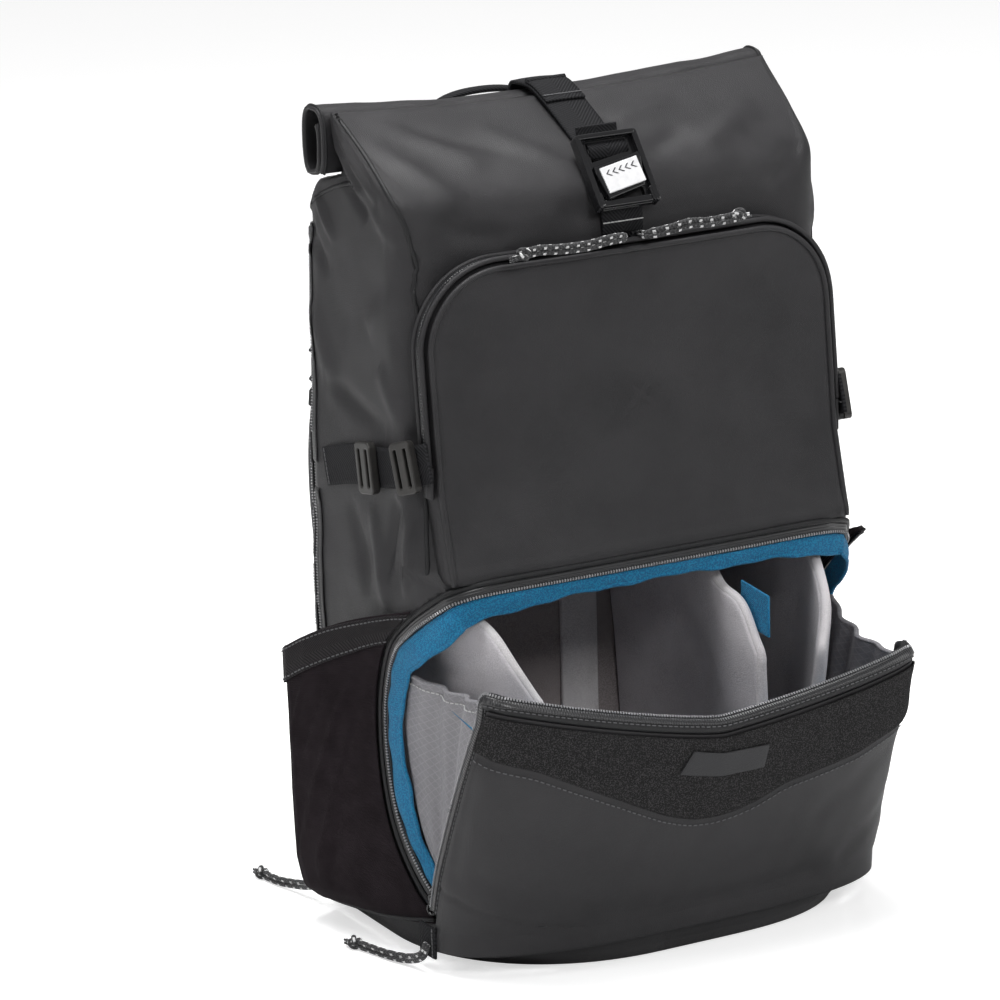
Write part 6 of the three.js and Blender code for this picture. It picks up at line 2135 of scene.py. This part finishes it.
# Floor, backdrop and light: the floor glows for the camera alone, as a lit white table does
def floor_material():
    material, tree, shader = new_material("pale_floor", 0.2, Specular_IOR_Level=0.3)
    patches = use_group(tree, "unevenness", {"Scale": 2.0})
    colour_from(tree, shader, mix_colours(tree, patches, (0.86, 0.86, 0.86), (0.88, 0.88, 0.88)))
    shader.inputs["Emission Color"].default_value = (1.0, 1.0, 1.0, 1.0)
    seen = add_node(tree, "ShaderNodeLightPath").outputs["Is Camera Ray"]
    tree.links.new(maths(tree, "MULTIPLY", seen, FLOOR_GLOW), shader.inputs["Emission Strength"])
    return material


FLOOR_GLOW = 0.56
ROOM_LIGHT = 0.28


def make_stage():
    mesh = bpy.data.meshes.new("floor")
    reach = 6.0
    mesh.from_pydata([(-reach, -reach, 0), (reach, -reach, 0), (reach, reach, 0), (-reach, reach, 0)], [], [(0, 1, 2, 3)])
    mesh.transform(Matrix.Translation((0.0, 0.0, -0.0004)))
    floor = add_object("floor", mesh)
    coat(floor, floor_material())
    world = bpy.data.worlds.new("studio")
    scene.world = world
    world.use_nodes = True
    tree = world.node_tree
    seen = add_node(tree, "ShaderNodeLightPath").outputs["Is Camera Ray"]
    level = add_node(tree, "ShaderNodeMapRange", {"Value": seen, "To Min": ROOM_LIGHT, "To Max": 1.0})
    tree.nodes["Background"].inputs["Color"].default_value = (1.0, 1.0, 1.0, 1.0)
    tree.links.new(level.outputs["Result"], tree.nodes["Background"].inputs["Strength"])
    scene.view_settings.view_transform = "Standard"


def add_light(name, place, target, size, energy):
    lamp = bpy.data.lights.new(name, "AREA")
    lamp.shape = "RECTANGLE"
    lamp.size, lamp.size_y = size
    lamp.energy = energy
    piece = bpy.data.objects.new(name, lamp)
    scene.collection.objects.link(piece)
    piece.location = place
    way = Vector(target) - Vector(place)
    piece.rotation_euler = way.to_track_quat("-Z", "Y").to_euler()


def make_lights():
    add_light("soft_top", (-0.2, 0.2, 2.2), (0, 0, 0.2), (1.4, 1.0), 54)
    add_light("soft_left", (-2.2, 0.1, 1.2), (0, 0, 0.25), (0.5, 1.6), 13)
    add_light("soft_right", (2.0, -0.9, 1.1), (0, 0, 0.25), (0.5, 1.4), 10)
    add_light("soft_front", (-0.2, -2.4, 1.9), (0, 0, 0.15), (0.9, 0.6), 24)


# Everything, from the body outwards
body.data.materials.clear()
body.data.materials.append(COATED)
body.data.materials.append(DARK_LINING_AND_SHADE)
shell = join("body_with_seams", [body, *make_body_seams()])
fit(shell, "body_shell")
make_roll()
make_front_pocket()
make_pocket_zip()
for name, side in (("left", -1), ("right", 1)):
    make_garage(name, side)
    make_gusset(name, side)
    make_side_pocket(name)
    make_side_strap(name)
    make_zip_tab(name, side)
    make_shoulder_strap(name, side)
make_flap()
make_yoke()
make_flap_rim()
make_flap_lining()
make_badge()
make_compartment_zip()
make_lining_band()
make_insert()
make_dividers()
make_divider_fold()
make_divider_tab()
make_partition()
make_laptop_zip()
make_top_strap()
make_buckle()
make_buckle_plate()
make_lower_webbing()
make_back_panel()
make_handle()
make_sliders()
make_stage()
make_lights()
